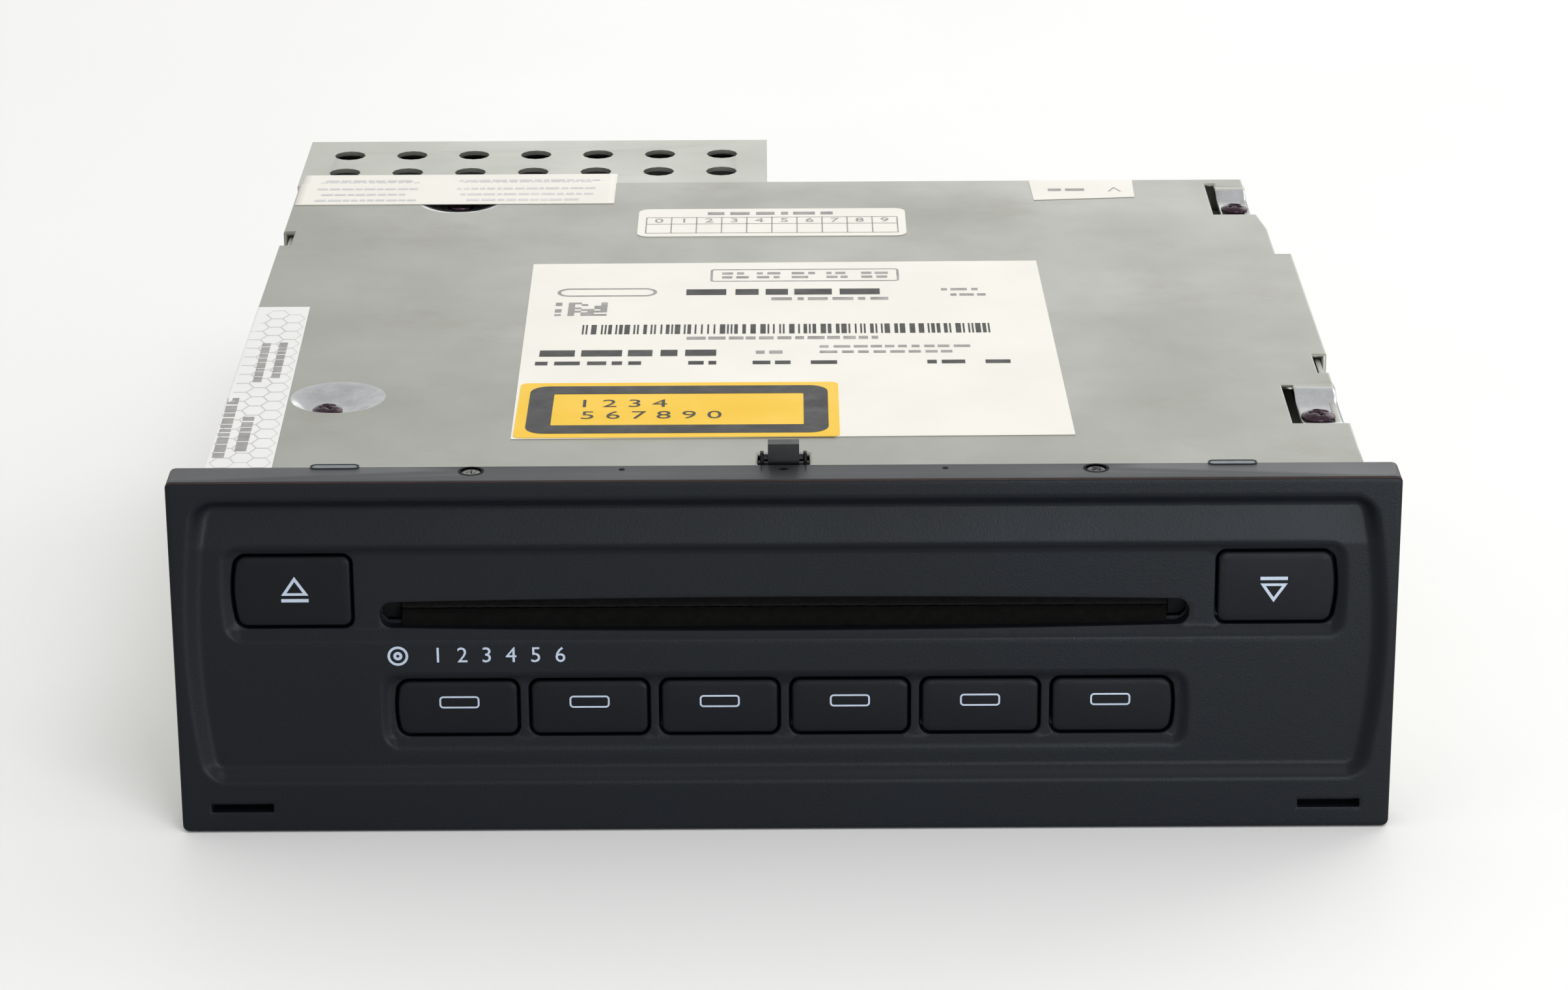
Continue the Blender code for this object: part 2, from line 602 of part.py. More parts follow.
def bulged_side(side, low, high, bulge):
    """A side that bows outwards by bulge at its middle, from low to high."""
    points = []
    for step in range(ARC_STEPS + 1):
        share = 2 * step / ARC_STEPS - 1
        offset = bulge * (1 - share * share)
        points.append((side + offset, low + (high - low) * step / ARC_STEPS))
    return points


def bulged_rectangle(left, right, bottom, top, left_bulge, right_bulge):
    """A rectangle whose left and right sides may bow outwards."""
    points = [(right, bottom), (right, top)]
    if right_bulge:
        points = bulged_side(right, bottom, top, right_bulge)
    left_points = [(left, top), (left, bottom)]
    if left_bulge:
        left_points = [(x, z) for x, z in reversed(bulged_side(left, bottom, top, -left_bulge))]
    return points + left_points


def grown(outline, amount):
    """The outline moved outwards by amount, each corner along its mitre."""
    points = []
    count = len(outline)
    for index, point in enumerate(outline):
        here = Vector(point)
        before = (here - Vector(outline[index - 1])).normalized()
        after = (Vector(outline[(index + 1) % count]) - here).normalized()
        first_normal = Vector((before.y, -before.x))
        second_normal = Vector((after.y, -after.x))
        mitre = (first_normal + second_normal) / (1 + first_normal.dot(second_normal))
        moved = here + amount * mitre
        points.append((moved.x, moved.y))
    return points


def belt_outline(centres, radius):
    """The tight loop around equal circles, given in counter-clockwise order."""
    points = []
    count = len(centres)
    for index, centre in enumerate(centres):
        arriving = Vector(centre) - Vector(centres[index - 1])
        leaving = Vector(centres[(index + 1) % count]) - Vector(centre)
        start = math.atan2(arriving.y, arriving.x) - math.pi / 2
        end = math.atan2(leaving.y, leaving.x) - math.pi / 2
        while end < start:
            end += math.tau
        points += arc(centre, radius, start, end)
    return points


def involute(angle):
    return math.tan(angle) - angle


def gear_outline(teeth, module, centre, phase):
    """Involute teeth with backlash; one tooth points along phase."""
    pitch = module * teeth / 2
    base = pitch * math.cos(PRESSURE_ANGLE)
    root = pitch - module * DEDENDUM_SHARE
    tip = pitch + module * ADDENDUM_SHARE
    half_at_pitch = math.pi / (2 * teeth) * (1 - BACKLASH_SHARE)

    def half_angle(radius):
        flank = max(radius, base)
        return half_at_pitch + involute(PRESSURE_ANGLE) - involute(math.acos(base / flank))

    points = []
    for tooth in range(teeth):
        middle = phase + math.tau * tooth / teeth
        for side, radii in ((-1, (root, pitch, tip)), (1, (tip, pitch, root))):
            for radius in radii:
                angle = middle + side * half_angle(radius)
                points.append((centre[0] + radius * math.cos(angle), centre[1] + radius * math.sin(angle)))
    return points


def meshed_phase(phase, teeth, other_teeth, direction):
    """Phase of a gear at this direction from one whose phase is given, so that the teeth mesh."""
    pitch_angle = math.tau / teeth
    lag = (direction - phase) % pitch_angle
    gap_angle = direction + math.pi + lag * teeth / other_teeth
    return gap_angle + math.pi / other_teeth


# Solids. Each builder returns a bmesh; the axis is the direction of the extrusion or of the turning

AXIS_MAPS = {
    "x": lambda first, second, along: (along, first, second),
    "y": lambda first, second, along: (first, along, second),
    "z": lambda first, second, along: (first, second, along),
}


def prism(outlines, axis, start, end):
    """A straight solid; the first outline is the outside and the others are holes."""
    mapping = AXIS_MAPS[axis]
    bm = bmesh.new()
    for outline in outlines:
        verts = [bm.verts.new(mapping(first, second, start)) for first, second in outline]
        for index, vert in enumerate(verts):
            bm.edges.new((verts[index - 1], vert))
    bmesh.ops.triangle_fill(bm, edges=bm.edges[:], use_beauty=True)
    extruded = bmesh.ops.extrude_face_region(bm, geom=bm.faces[:])
    moved = [item for item in extruded["geom"] if isinstance(item, bmesh.types.BMVert)]
    offset = Vector(mapping(0, 0, end)) - Vector(mapping(0, 0, start))
    bmesh.ops.translate(bm, verts=moved, vec=offset)
    bmesh.ops.recalc_face_normals(bm, faces=bm.faces[:])
    return bm


def block(x_range, y_range, z_range):
    """A box between the given limits."""
    return prism([rectangle(*x_range, *y_range)], "z", *z_range)


def turned(profile, axis, centre, steps=ROUND_STEPS):
    """A solid of revolution from (radius, along) points; a closed profile is given with no zero radius."""
    mapping = AXIS_MAPS[axis]
    bm = bmesh.new()
    rings = []
    for radius, along in profile:
        if radius == 0:
            rings.append([bm.verts.new(mapping(centre[0], centre[1], along))])
            continue
        points = circle(centre, radius, steps)
        rings.append([bm.verts.new(mapping(first, second, along)) for first, second in points])
    pairs = list(zip(rings, rings[1:]))
    if profile[0][0] > 0:
        pairs.append((rings[-1], rings[0]))
    for lower, upper in pairs:
        bridge_rings(bm, lower, upper, steps)
    bmesh.ops.recalc_face_normals(bm, faces=bm.faces[:])
    return bm


def bridge_rings(bm, lower, upper, steps):
    """Faces between two rings, either of which may be a single point."""
    for step in range(steps):
        following = (step + 1) % steps
        corners = []
        for vert in (lower[step % len(lower)], lower[following % len(lower)],
                     upper[following % len(upper)], upper[step % len(upper)]):
            if vert not in corners:
                corners.append(vert)
        bm.faces.new(corners)


def cylinder(radius, axis, centre, start, end, steps=ROUND_STEPS):
    return turned([(0, start), (radius, start), (radius, end), (0, end)], axis, centre, steps)


def threaded_rod(plain, radius, groove, lead, start, turns, rings_per_turn, steps):
    """A rod along Z with one thread start, plain stretches below and above as (radius, along) points."""
    bm = bmesh.new()
    rings = [[bm.verts.new((0, 0, plain[0][0][1]))]]
    for ring_radius, along in plain[0]:
        rings.append([bm.verts.new((*point, along)) for point in circle((0, 0), ring_radius, steps)])
    count = int(turns * rings_per_turn + MERGE_DISTANCE)
    for ring in range(count + 1):
        along = start + lead * ring / rings_per_turn
        verts = []
        for step in range(steps):
            angle = math.tau * step / steps
            wave = math.cos(math.tau * ring / rings_per_turn - angle)
            local = radius - groove / 2 * (1 - wave)
            verts.append(bm.verts.new((local * math.cos(angle), local * math.sin(angle), along)))
        rings.append(verts)
    for ring_radius, along in plain[1]:
        rings.append([bm.verts.new((*point, along)) for point in circle((0, 0), ring_radius, steps)])
    rings.append([bm.verts.new((0, 0, plain[1][-1][1]))])
    for lower, upper in zip(rings, rings[1:]):
        bridge_rings(bm, lower, upper, steps)
    bmesh.ops.recalc_face_normals(bm, faces=bm.faces[:])
    return bm


def scratch_object(bm, name):
    mesh = bpy.data.meshes.new(name)
    bm.to_mesh(mesh)
    bm.free()
    thing = bpy.data.objects.new(name, mesh)
    bpy.context.collection.objects.link(thing)
    return thing


def combine(thing, bm, operation):
    """Apply one exact Boolean to an object with a bmesh, and drop the cutter."""
    tool = scratch_object(bm, "tool")
    modifier = thing.modifiers.new("combine", "BOOLEAN")
    modifier.operation = operation
    modifier.solver = "EXACT"
    modifier.object = tool
    graph = bpy.context.evaluated_depsgraph_get()
    result = bpy.data.meshes.new_from_object(thing.evaluated_get(graph))
    thing.modifiers.clear()
    old = thing.data
    thing.data = result
    bpy.data.meshes.remove(old)
    tool_mesh = tool.data
    bpy.data.objects.remove(tool)
    bpy.data.meshes.remove(tool_mesh)


def merged(solids):
    """Several solids that don't touch, as one bmesh, for cutting them all at once."""
    bm = bmesh.new()
    for solid in solids:
        mesh = bpy.data.meshes.new("merged")
        solid.to_mesh(mesh)
        solid.free()
        bm.from_mesh(mesh)
        bpy.data.meshes.remove(mesh)
    return bm


def piece(name, bm, finish_name, origin=(0, 0, 0), turn=0.0, added=(), cut=()):
    """A named sub-part. Its mesh is modelled about origin, then stands there turned about Z."""
    thing = scratch_object(bm, name)
    for solid in added:
        combine(thing, solid, "UNION")
    if cut:
        combine(thing, merged(cut), "DIFFERENCE")
    mesh = thing.data
    mesh.name = name
    clean = bmesh.new()
    clean.from_mesh(mesh)
    bmesh.ops.remove_doubles(clean, verts=clean.verts[:], dist=MERGE_DISTANCE)
    bmesh.ops.dissolve_degenerate(clean, edges=clean.edges[:], dist=MERGE_DISTANCE)
    bmesh.ops.recalc_face_normals(clean, faces=clean.faces[:])
    clean.to_mesh(mesh)
    clean.free()
    mesh.materials.clear()
    mesh.materials.append(finish(finish_name))
    mesh.shade_smooth()
    mesh.set_sharp_from_angle(angle=SMOOTH_ANGLE)
    thing.location = origin
    thing.rotation_euler = (0, 0, turn)
    return thing


# Front panel and what lies behind it

def small_button_centre(index):
    return (index - (BUTTON_COUNT - 1) / 2) * BUTTON_PITCH


def small_button_outline(index):
    centre = small_button_centre(index)
    left_bulge = END_BUTTON_BULGE if index == 0 else 0
    right_bulge = END_BUTTON_BULGE if index == BUTTON_COUNT - 1 else 0
    return bulged_rectangle(centre - BUTTON_WIDTH / 2, centre + BUTTON_WIDTH / 2,
                            BUTTON_BOTTOM, BUTTON_TOP, left_bulge, right_bulge)


def large_button_outline(side):
    """Outline of the eject button (side -1) or the load button (side 1)."""
    inner, outer = LARGE_BUTTON_INNER, LARGE_BUTTON_OUTER
    if side < 0:
        return bulged_rectangle(-outer, -inner, LARGE_BUTTON_BOTTOM, LARGE_BUTTON_TOP, LARGE_BUTTON_BULGE, 0)
    return bulged_rectangle(inner, outer, LARGE_BUTTON_BOTTOM, LARGE_BUTTON_TOP, 0, LARGE_BUTTON_BULGE)


def disc_slot_outline():
    """The slot in the face: bowed top and bottom, corners clipped."""
    top = []
    for step in range(2 * ARC_STEPS + 1):
        share = step / ARC_STEPS - 1
        rise = DISC_SLOT_HEIGHT / 2 + DISC_SLOT_BOW * (1 - share * share)
        top.append((DISC_SLOT_HALF * share, rise))
    top[0] = (top[0][0] + DISC_SLOT_CORNER, top[0][1])
    top[-1] = (top[-1][0] - DISC_SLOT_CORNER, top[-1][1])
    lower_corner = DISC_SLOT_HEIGHT / 2 - DISC_SLOT_CORNER
    right_end = [(DISC_SLOT_HALF, lower_corner), (DISC_SLOT_HALF, -lower_corner)]
    left_end = [(-DISC_SLOT_HALF, -lower_corner), (-DISC_SLOT_HALF, lower_corner)]
    bottom = [(x, -z) for x, z in reversed(top)]
    return [(x, DISC_LEVEL + z) for x, z in top + right_end + bottom + left_end]


def face_pocket(outline, depth, start=0.0):
    """A cutter that sinks an outline into the face, from start back to depth."""
    front = back(start) - (OVERRUN if start == 0 else 0)
    return prism([outline], "y", front, back(depth))


def build_bezel():
    half = FACE_WIDTH / 2
    outer = rounded_rectangle(-half, half, 0, FACE_HEIGHT, FACE_CORNER)
    body = prism([outer], "y", back(0), back(BEZEL_DEPTH))
    bezel = scratch_object(body, "bezel_blank")
    hollow = rectangle(-HOLLOW_HALF, HOLLOW_HALF, HOLLOW_BOTTOM, HOLLOW_TOP)
    combine(bezel, prism([hollow], "y", back(FRONT_WALL_BACK), back(BEZEL_DEPTH) + OVERRUN), "DIFFERENCE")
    for side in (-1, 1):
        centre = side * TOP_SCREW_X
        pocket_half = TAB_HALF + 2 * GAP
        pocket = rectangle(centre - pocket_half, centre + pocket_half, TAB_POCKET_BOTTOM, HOLLOW_TOP - GAP)
        combine(bezel, prism([pocket], "y", back(TAB_POCKET_FRONT), back(BEZEL_DEPTH) + OVERRUN), "DIFFERENCE")
    for x, z in POSTS:
        start = back(FRONT_WALL_BACK - POST_SINK)
        combine(bezel, cylinder(POST_RADIUS, "y", (x, z), start, back(POST_DEPTH), SMALL_STEPS), "UNION")
    for side in (-1, 1):
        combine(bezel, snap_arm(side), "UNION")
        combine(bezel, snap_nub(side), "UNION")
        combine(bezel, catch_ear(side), "UNION")
    panel = bulged_rectangle(-PANEL_HALF, PANEL_HALF, PANEL_BOTTOM, PANEL_TOP, PANEL_BULGE, PANEL_BULGE)
    valley = bulged_rectangle(-VALLEY_HALF, VALLEY_HALF, VALLEY_BOTTOM, VALLEY_TOP, VALLEY_BULGE, VALLEY_BULGE)
    row = bulged_rectangle(-ROW_HALF, ROW_HALF, ROW_BOTTOM, ROW_TOP, ROW_BULGE, ROW_BULGE)
    combine(bezel, face_pocket(panel, PANEL_DEPTH), "DIFFERENCE")
    combine(bezel, merged([face_pocket(valley, VALLEY_DEPTH), face_pocket(row, ROW_DEPTH)]), "DIFFERENCE")
    through = FRONT_WALL_BACK + OVERRUN / 2
    holes = [face_pocket(disc_slot_outline(), through)]
    for index in range(BUTTON_COUNT):
        holes.append(face_pocket(grown(small_button_outline(index), BUTTON_CLEARANCE), through))
    for side in (-1, 1):
        holes.append(face_pocket(grown(large_button_outline(side), BUTTON_CLEARANCE), through))
        ends = sorted((side * FOOT_SLOT_INNER, side * FOOT_SLOT_OUTER))
        foot = rectangle(*ends, FOOT_SLOT_BOTTOM, FOOT_SLOT_BOTTOM + FOOT_SLOT_HEIGHT)
        holes.append(face_pocket(foot, FOOT_SLOT_DEPTH))
        holes.append(top_screw_hole(side))
        holes.append(catch_pin_hole(side))
    combine(bezel, merged(holes), "DIFFERENCE")
    bm = bmesh.new()
    bm.from_mesh(bezel.data)
    bpy.data.objects.remove(bezel)
    piece("bezel", bm, "face_plastic")


def snap_arm(side):
    """An arm that reaches back from the top wall of the bezel under the cover."""
    centre = side * SNAP_X
    x_range = (centre - SNAP_HALF, centre + SNAP_HALF)
    y_range = (back(BEZEL_DEPTH - OVERRUN), back(BEZEL_DEPTH + SNAP_LENGTH))
    return block(x_range, y_range, (SNAP_BOTTOM, SNAP_BOTTOM + SNAP_THICKNESS + POST_SINK))


def snap_nub(side):
    """The nub on the arm that clicks into the slot of the cover."""
    centre = side * SNAP_X
    front = SNAP_SLOT_FRONT + (SNAP_SLOT_WIDTH - SNAP_NUB_LENGTH) / 2
    y_range = (back(front), back(front + SNAP_NUB_LENGTH))
    return block((centre - SNAP_HALF, centre + SNAP_HALF), y_range, (SNAP_BOTTOM + POST_SINK, SNAP_NUB_TOP))


def catch_centre_back():
    return CATCH_FRONT + CATCH_DEPTH / 2


def catch_ear(side):
    """One of the two ears that carry the pin of the catch."""
    centre = back(catch_centre_back())
    head = arc((centre, CATCH_PIN_HEIGHT), CATCH_EAR_RADIUS, 0, math.pi)
    foot_front = back(BEZEL_DEPTH - OVERRUN)
    outline = head + [(centre - CATCH_EAR_RADIUS, CATCH_PIN_HEIGHT - CATCH_EAR_RADIUS),
                      (foot_front, CATCH_PIN_HEIGHT - 2 * CATCH_EAR_RADIUS),
                      (foot_front, CATCH_EAR_BOTTOM),
                      (centre + CATCH_EAR_RADIUS, CATCH_EAR_BOTTOM)]
    ends = sorted((side * CATCH_EAR_INNER, side * (CATCH_EAR_INNER + CATCH_EAR_THICKNESS)))
    return prism([outline], "x", *ends)


def catch_pin_hole(side):
    centre = (back(catch_centre_back()), CATCH_PIN_HEIGHT)
    ends = sorted((side * (CATCH_EAR_INNER - GAP), side * (CATCH_EAR_INNER + CATCH_EAR_THICKNESS + GAP)))
    return cylinder(CATCH_PIN_RADIUS + GAP / 2, "x", centre, *ends, SMALL_STEPS)


def top_screw_hole(side):
    """Head recess and clearance hole for one screw in the top wall of the bezel."""
    centre = (side * TOP_SCREW_X, back(TOP_SCREW_BACK))
    seat = FACE_HEIGHT - TOP_SCREW_SINK
    head_radius = TOP_SCREW_HEAD_RADIUS + GAP
    shank_radius = TOP_SCREW_SHANK_RADIUS + GAP
    profile = [(0, HOLLOW_TOP - OVERRUN), (shank_radius, HOLLOW_TOP - OVERRUN), (shank_radius, seat),
               (head_radius, seat), (head_radius, FACE_HEIGHT + OVERRUN), (0, FACE_HEIGHT + OVERRUN)]
    return turned(profile, "z", centre, SMALL_STEPS)


def cross_recess(centre, top, radius):
    """The cutter for the cross in the head of a screw."""
    arm = CROSS_WIDTH / 2
    reach = radius / 2
    x, y = centre
    outline = [(x - arm, y - reach), (x + arm, y - reach), (x + arm, y - arm), (x + reach, y - arm),
               (x + reach, y + arm), (x + arm, y + arm), (x + arm, y + reach), (x - arm, y + reach),
               (x - arm, y + arm), (x - reach, y + arm), (x - reach, y - arm), (x - arm, y - arm)]
    return prism([outline], "z", top - CROSS_DEPTH, top + OVERRUN)


def build_screw(name, centre, seat, head_radius, head, shank_radius, length, finish_name):
    """A cross-head screw with its head seated at this height."""
    floor = seat + GAP
    profile = [(0, floor - length), (shank_radius, floor - length), (shank_radius, floor),
               (head_radius, floor), (head_radius, floor + head), (0, floor + head)]
    body = turned(profile, "z", centre, SMALL_STEPS)
    cross = cross_recess(centre, floor + head, head_radius)
    piece(name, body, finish_name, cut=(cross,))


def build_screws():
    for side, name in ((-1, "bezel_screw_left"), (1, "bezel_screw_right")):
        centre = (side * TOP_SCREW_X, back(TOP_SCREW_BACK))
        build_screw(name, centre, FACE_HEIGHT - TOP_SCREW_SINK, TOP_SCREW_HEAD_RADIUS, TOP_SCREW_HEAD,
                    TOP_SCREW_SHANK_RADIUS, TOP_SCREW_LENGTH, "steel")
    seat = COVER_TOP - DIMPLE_DEPTH
    for name, (x, distance) in zip(COVER_SCREW_NAMES, COVER_SCREWS):
        build_screw(name, (x, back(distance)), seat, COVER_SCREW_HEAD_RADIUS, COVER_SCREW_HEAD,
                    COVER_SCREW_SHANK_RADIUS, COVER_SCREW_LENGTH, "brass")


def build_button(name, outline, face_depth, centre):
    """Cap, retaining lip behind the bezel and a stem towards the switch dome."""
    lip_front = FRONT_WALL_BACK + GAP
    lip_back = lip_front + BUTTON_LIP_THICKNESS
    stem_back = lip_back + BUTTON_STEM_LENGTH
    cap = prism([outline], "y", back(face_depth - BUTTON_PROUD), back(lip_back))
    lip = prism([grown(outline, BUTTON_LIP)], "y", back(lip_front), back(lip_back))
    stem_outline = rectangle(centre[0] - BUTTON_STEM_HALF, centre[0] + BUTTON_STEM_HALF,
                             centre[1] - BUTTON_STEM_HALF, centre[1] + BUTTON_STEM_HALF)
    stem = prism([stem_outline], "y", back(lip_front + POST_SINK), back(stem_back))
    piece(name, cap, "button_plastic", added=(lip, stem))


def button_centres():
    """Name, outline, depth of the surface around it and centre of each of the eight buttons."""
    rows = []
    middle = (BUTTON_BOTTOM + BUTTON_TOP) / 2
    for index in range(BUTTON_COUNT):
        centre = (small_button_centre(index), middle)
        rows.append((f"disc_button_{index + 1}", small_button_outline(index), ROW_DEPTH, centre))
    middle = (LARGE_BUTTON_BOTTOM + LARGE_BUTTON_TOP) / 2
    for side, name in ((-1, "eject_button"), (1, "load_button")):
        centre = (side * (LARGE_BUTTON_INNER + LARGE_BUTTON_OUTER) / 2, middle)
        rows.append((name, large_button_outline(side), VALLEY_DEPTH, centre))
    return rows


def build_buttons():
    for name, outline, depth, centre in button_centres():
        build_button(name, outline, depth, centre)


def build_switch_mat():
    outline = rectangle(-MAT_HALF, MAT_HALF, MAT_BOTTOM, MAT_TOP)
    window = rectangle(-DISC_WINDOW_HALF, DISC_WINDOW_HALF, DISC_WINDOW_BOTTOM, DISC_WINDOW_TOP)
    sheet = prism([outline, window], "y", back(MAT_FRONT), back(MAT_FRONT + MAT_THICKNESS))
    domes = []
    for _name, _outline, _depth, centre in button_centres():
        start = back(MAT_FRONT - DOME_HEIGHT)
        domes.append(cylinder(DOME_RADIUS, "y", centre, start, back(MAT_FRONT + POST_SINK), SMALL_STEPS))
    piece("switch_mat", sheet, "rubber", added=(merged(domes),))


def build_button_board():
    outline = rectangle(-MAT_HALF, MAT_HALF, MAT_BOTTOM - BOARD_MARGIN, MAT_TOP + BOARD_MARGIN)
    window = rectangle(-DISC_WINDOW_HALF, DISC_WINDOW_HALF, DISC_WINDOW_BOTTOM, DISC_WINDOW_TOP)
    front = MAT_FRONT + MAT_THICKNESS + GAP
    board = prism([outline, window], "y", back(front), back(front + BOARD_THICKNESS))
    piece("button_board", board, "board_green")


def build_dust_lips():
    """Felt strips behind the upper and lower edge of the slot."""
    front = FRONT_WALL_BACK + GAP
    y_range = (back(front), back(front + LIP_THICKNESS))
    upper = DISC_LEVEL + LIP_OPENING / 2
    lower = DISC_LEVEL - LIP_OPENING / 2
    piece("dust_lip_upper", block((-LIP_HALF, LIP_HALF), y_range, (upper, upper + LIP_HEIGHT)), "felt")
    piece("dust_lip_lower", block((-LIP_HALF, LIP_HALF), y_range, (lower - LIP_HEIGHT, lower)), "felt")


def build_slot_guides():
    """Blocks at both ends of the slot that keep the disc in the middle."""
    front = FRONT_WALL_BACK + LIP_THICKNESS + 2 * GAP
    y_range = (back(front), back(front + GUIDE_LENGTH))
    z_range = (DISC_LEVEL - GUIDE_HALF_HEIGHT, DISC_LEVEL + GUIDE_HALF_HEIGHT)
    for side, name in ((-1, "slot_guide_left"), (1, "slot_guide_right")):
        ends = sorted((side * GUIDE_INNER, side * GUIDE_OUTER))
        piece(name, block(ends, y_range, z_range), "black_plastic")


def build_catch():
    """Catch on top that tilts back about its pin in the bezel's ears. Its origin is on the pin."""
    front = -CATCH_DEPTH / 2
    bottom = CATCH_BOTTOM - CATCH_PIN_HEIGHT
    top = CATCH_TOP - CATCH_PIN_HEIGHT
    rear = -front
    quarter = math.pi / 2
    crown = arc((rear - CATCH_CORNER, top - CATCH_CORNER), CATCH_CORNER, 0, quarter, CORNER_STEPS)
    outline = [(front, bottom), (rear, bottom)] + crown + [(front, top)]
    body = prism([outline], "x", -CATCH_HALF, CATCH_HALF)
    reach = CATCH_EAR_INNER + CATCH_EAR_THICKNESS
    pin = cylinder(CATCH_PIN_RADIUS, "x", (0, 0), -reach, reach, SMALL_STEPS)
    origin = (0, back(catch_centre_back()), CATCH_PIN_HEIGHT)
    piece("catch", body, "black_plastic", origin=origin, added=(pin,))


# Casing

def cover_outline():
    """Top sheet seen from above, counter-clockwise from the front left corner."""
    half = COVER_HALF
    places = [
        (-half, COVER_FRONT), (-CATCH_WINDOW_HALF, COVER_FRONT), (-CATCH_WINDOW_HALF, CATCH_WINDOW_REAR),
        (CATCH_WINDOW_HALF, CATCH_WINDOW_REAR), (CATCH_WINDOW_HALF, COVER_FRONT), (half, COVER_FRONT),
        (half, TONGUE_SLOT_FRONT), (TONGUE_SLOT_INNER, TONGUE_SLOT_FRONT),
        (TONGUE_SLOT_INNER, TONGUE_SLOT_REAR),
        (TONGUE_INNER, TONGUE_SLOT_REAR), (TONGUE_INNER, TONGUE_TIP), (TONGUE_OUTER, TONGUE_TIP),
        (TONGUE_OUTER, TONGUE_ROOT), (EDGE_NOTCH_INNER, TONGUE_ROOT), (EDGE_NOTCH_INNER, EDGE_NOTCH_REAR),
        (half, EDGE_NOTCH_REAR), (half, REAR_STEP_FRONT), (REAR_STEP_INNER, REAR_STEP_FRONT),
        (REAR_STEP_INNER, REAR_STEP_REAR), (CORNER_SLOT_OUTER, CORNER_SLOT_FRONT),
        (CORNER_SLOT_INNER, CORNER_SLOT_FRONT), (CORNER_SLOT_INNER, CORNER_SLOT_REAR),
        (CORNER_SLOT_INNER + CORNER_SLOT_WIDTH, CORNER_SLOT_REAR),
        (CORNER_SLOT_INNER + CORNER_SLOT_WIDTH, CORNER_SLOT_FRONT + CORNER_SLOT_WIDTH),
        (CORNER_EDGE, CORNER_SLOT_FRONT + CORNER_SLOT_WIDTH), (CORNER_EDGE, BODY_DEPTH),
        (-half, BODY_DEPTH), (-half, LEFT_NOTCH_REAR), (LEFT_NOTCH_DEPTH - half, LEFT_NOTCH_REAR),
        (LEFT_NOTCH_DEPTH - half, LEFT_NOTCH_FRONT), (-half, LEFT_NOTCH_FRONT),
    ]
    return [(x, back(distance)) for x, distance in places]


def snap_slot(side):
    centre = side * SNAP_X
    rear = SNAP_SLOT_FRONT + SNAP_SLOT_WIDTH
    return rounded_rectangle(centre - SNAP_SLOT_HALF, centre + SNAP_SLOT_HALF,
                             back(SNAP_SLOT_FRONT), back(rear), SNAP_SLOT_CORNER)


def dimple_cup(place):
    """Outside of a pressed dimple, under the sheet."""
    x, distance = place
    top = COVER_TOP - SHEET / 2
    bottom = COVER_TOP - DIMPLE_DEPTH - SHEET
    profile = [(0, bottom), (DIMPLE_FLOOR_RADIUS + SHEET / 2, bottom),
               (DIMPLE_RADIUS + SHEET / 2, COVER_TOP - SHEET), (DIMPLE_RADIUS + SHEET / 2, top), (0, top)]
    return turned(profile, "z", (x, back(distance)))


def dimple_cutter(place):
    """Inside of a pressed dimple."""
    x, distance = place
    floor = COVER_TOP - DIMPLE_DEPTH
    profile = [(0, floor), (DIMPLE_FLOOR_RADIUS, floor), (DIMPLE_RADIUS, COVER_TOP),
               (DIMPLE_RADIUS, COVER_TOP + OVERRUN), (0, COVER_TOP + OVERRUN)]
    return turned(profile, "z", (x, back(distance)))


def build_top_cover():
    sheet = prism([cover_outline(), snap_slot(-1), snap_slot(1)], "z", COVER_TOP - SHEET, COVER_TOP)
    bottom = COVER_TOP - FLANGE_DROP
    overlap = COVER_TOP - SHEET / 2
    half = COVER_HALF
    flanges = [
        block((half - SHEET, half), (back(COVER_FRONT), back(TONGUE_SLOT_FRONT)), (bottom, overlap)),
        block((half - SHEET, half), (back(EDGE_NOTCH_REAR), back(REAR_STEP_FRONT)), (bottom, overlap)),
        block((-half, SHEET - half), (back(COVER_FRONT), back(LEFT_NOTCH_FRONT)), (bottom, overlap)),
        block((-half, SHEET - half), (back(LEFT_NOTCH_REAR), back(BODY_DEPTH - 2 * SHEET)), (bottom, overlap)),
        block((2 * SHEET - half, CORNER_EDGE - SHEET), (back(BODY_DEPTH - SHEET), back(BODY_DEPTH)),
              (bottom, overlap)),
    ]
    cups = [dimple_cup(place) for place in DIMPLES]
    cutters = [dimple_cutter(place) for place in DIMPLES]
    screw_radius = COVER_SCREW_SHANK_RADIUS + SCREW_HOLE_CLEARANCE
    holes = []
    for x, distance in COVER_SCREWS:
        holes.append(cylinder(screw_radius, "z", (x, back(distance)), BRACKET_TAB_TOP, COVER_TOP + OVERRUN,
                              SMALL_STEPS))
    cover = scratch_object(sheet, "cover_blank")
    combine(cover, merged(flanges), "UNION")
    combine(cover, merged(cups), "UNION")
    combine(cover, merged(cutters), "DIFFERENCE")
    bm = bmesh.new()
    bm.from_mesh(cover.data)
    bpy.data.objects.remove(cover)
    piece("top_cover", bm, "zinc_sheet", cut=holes)


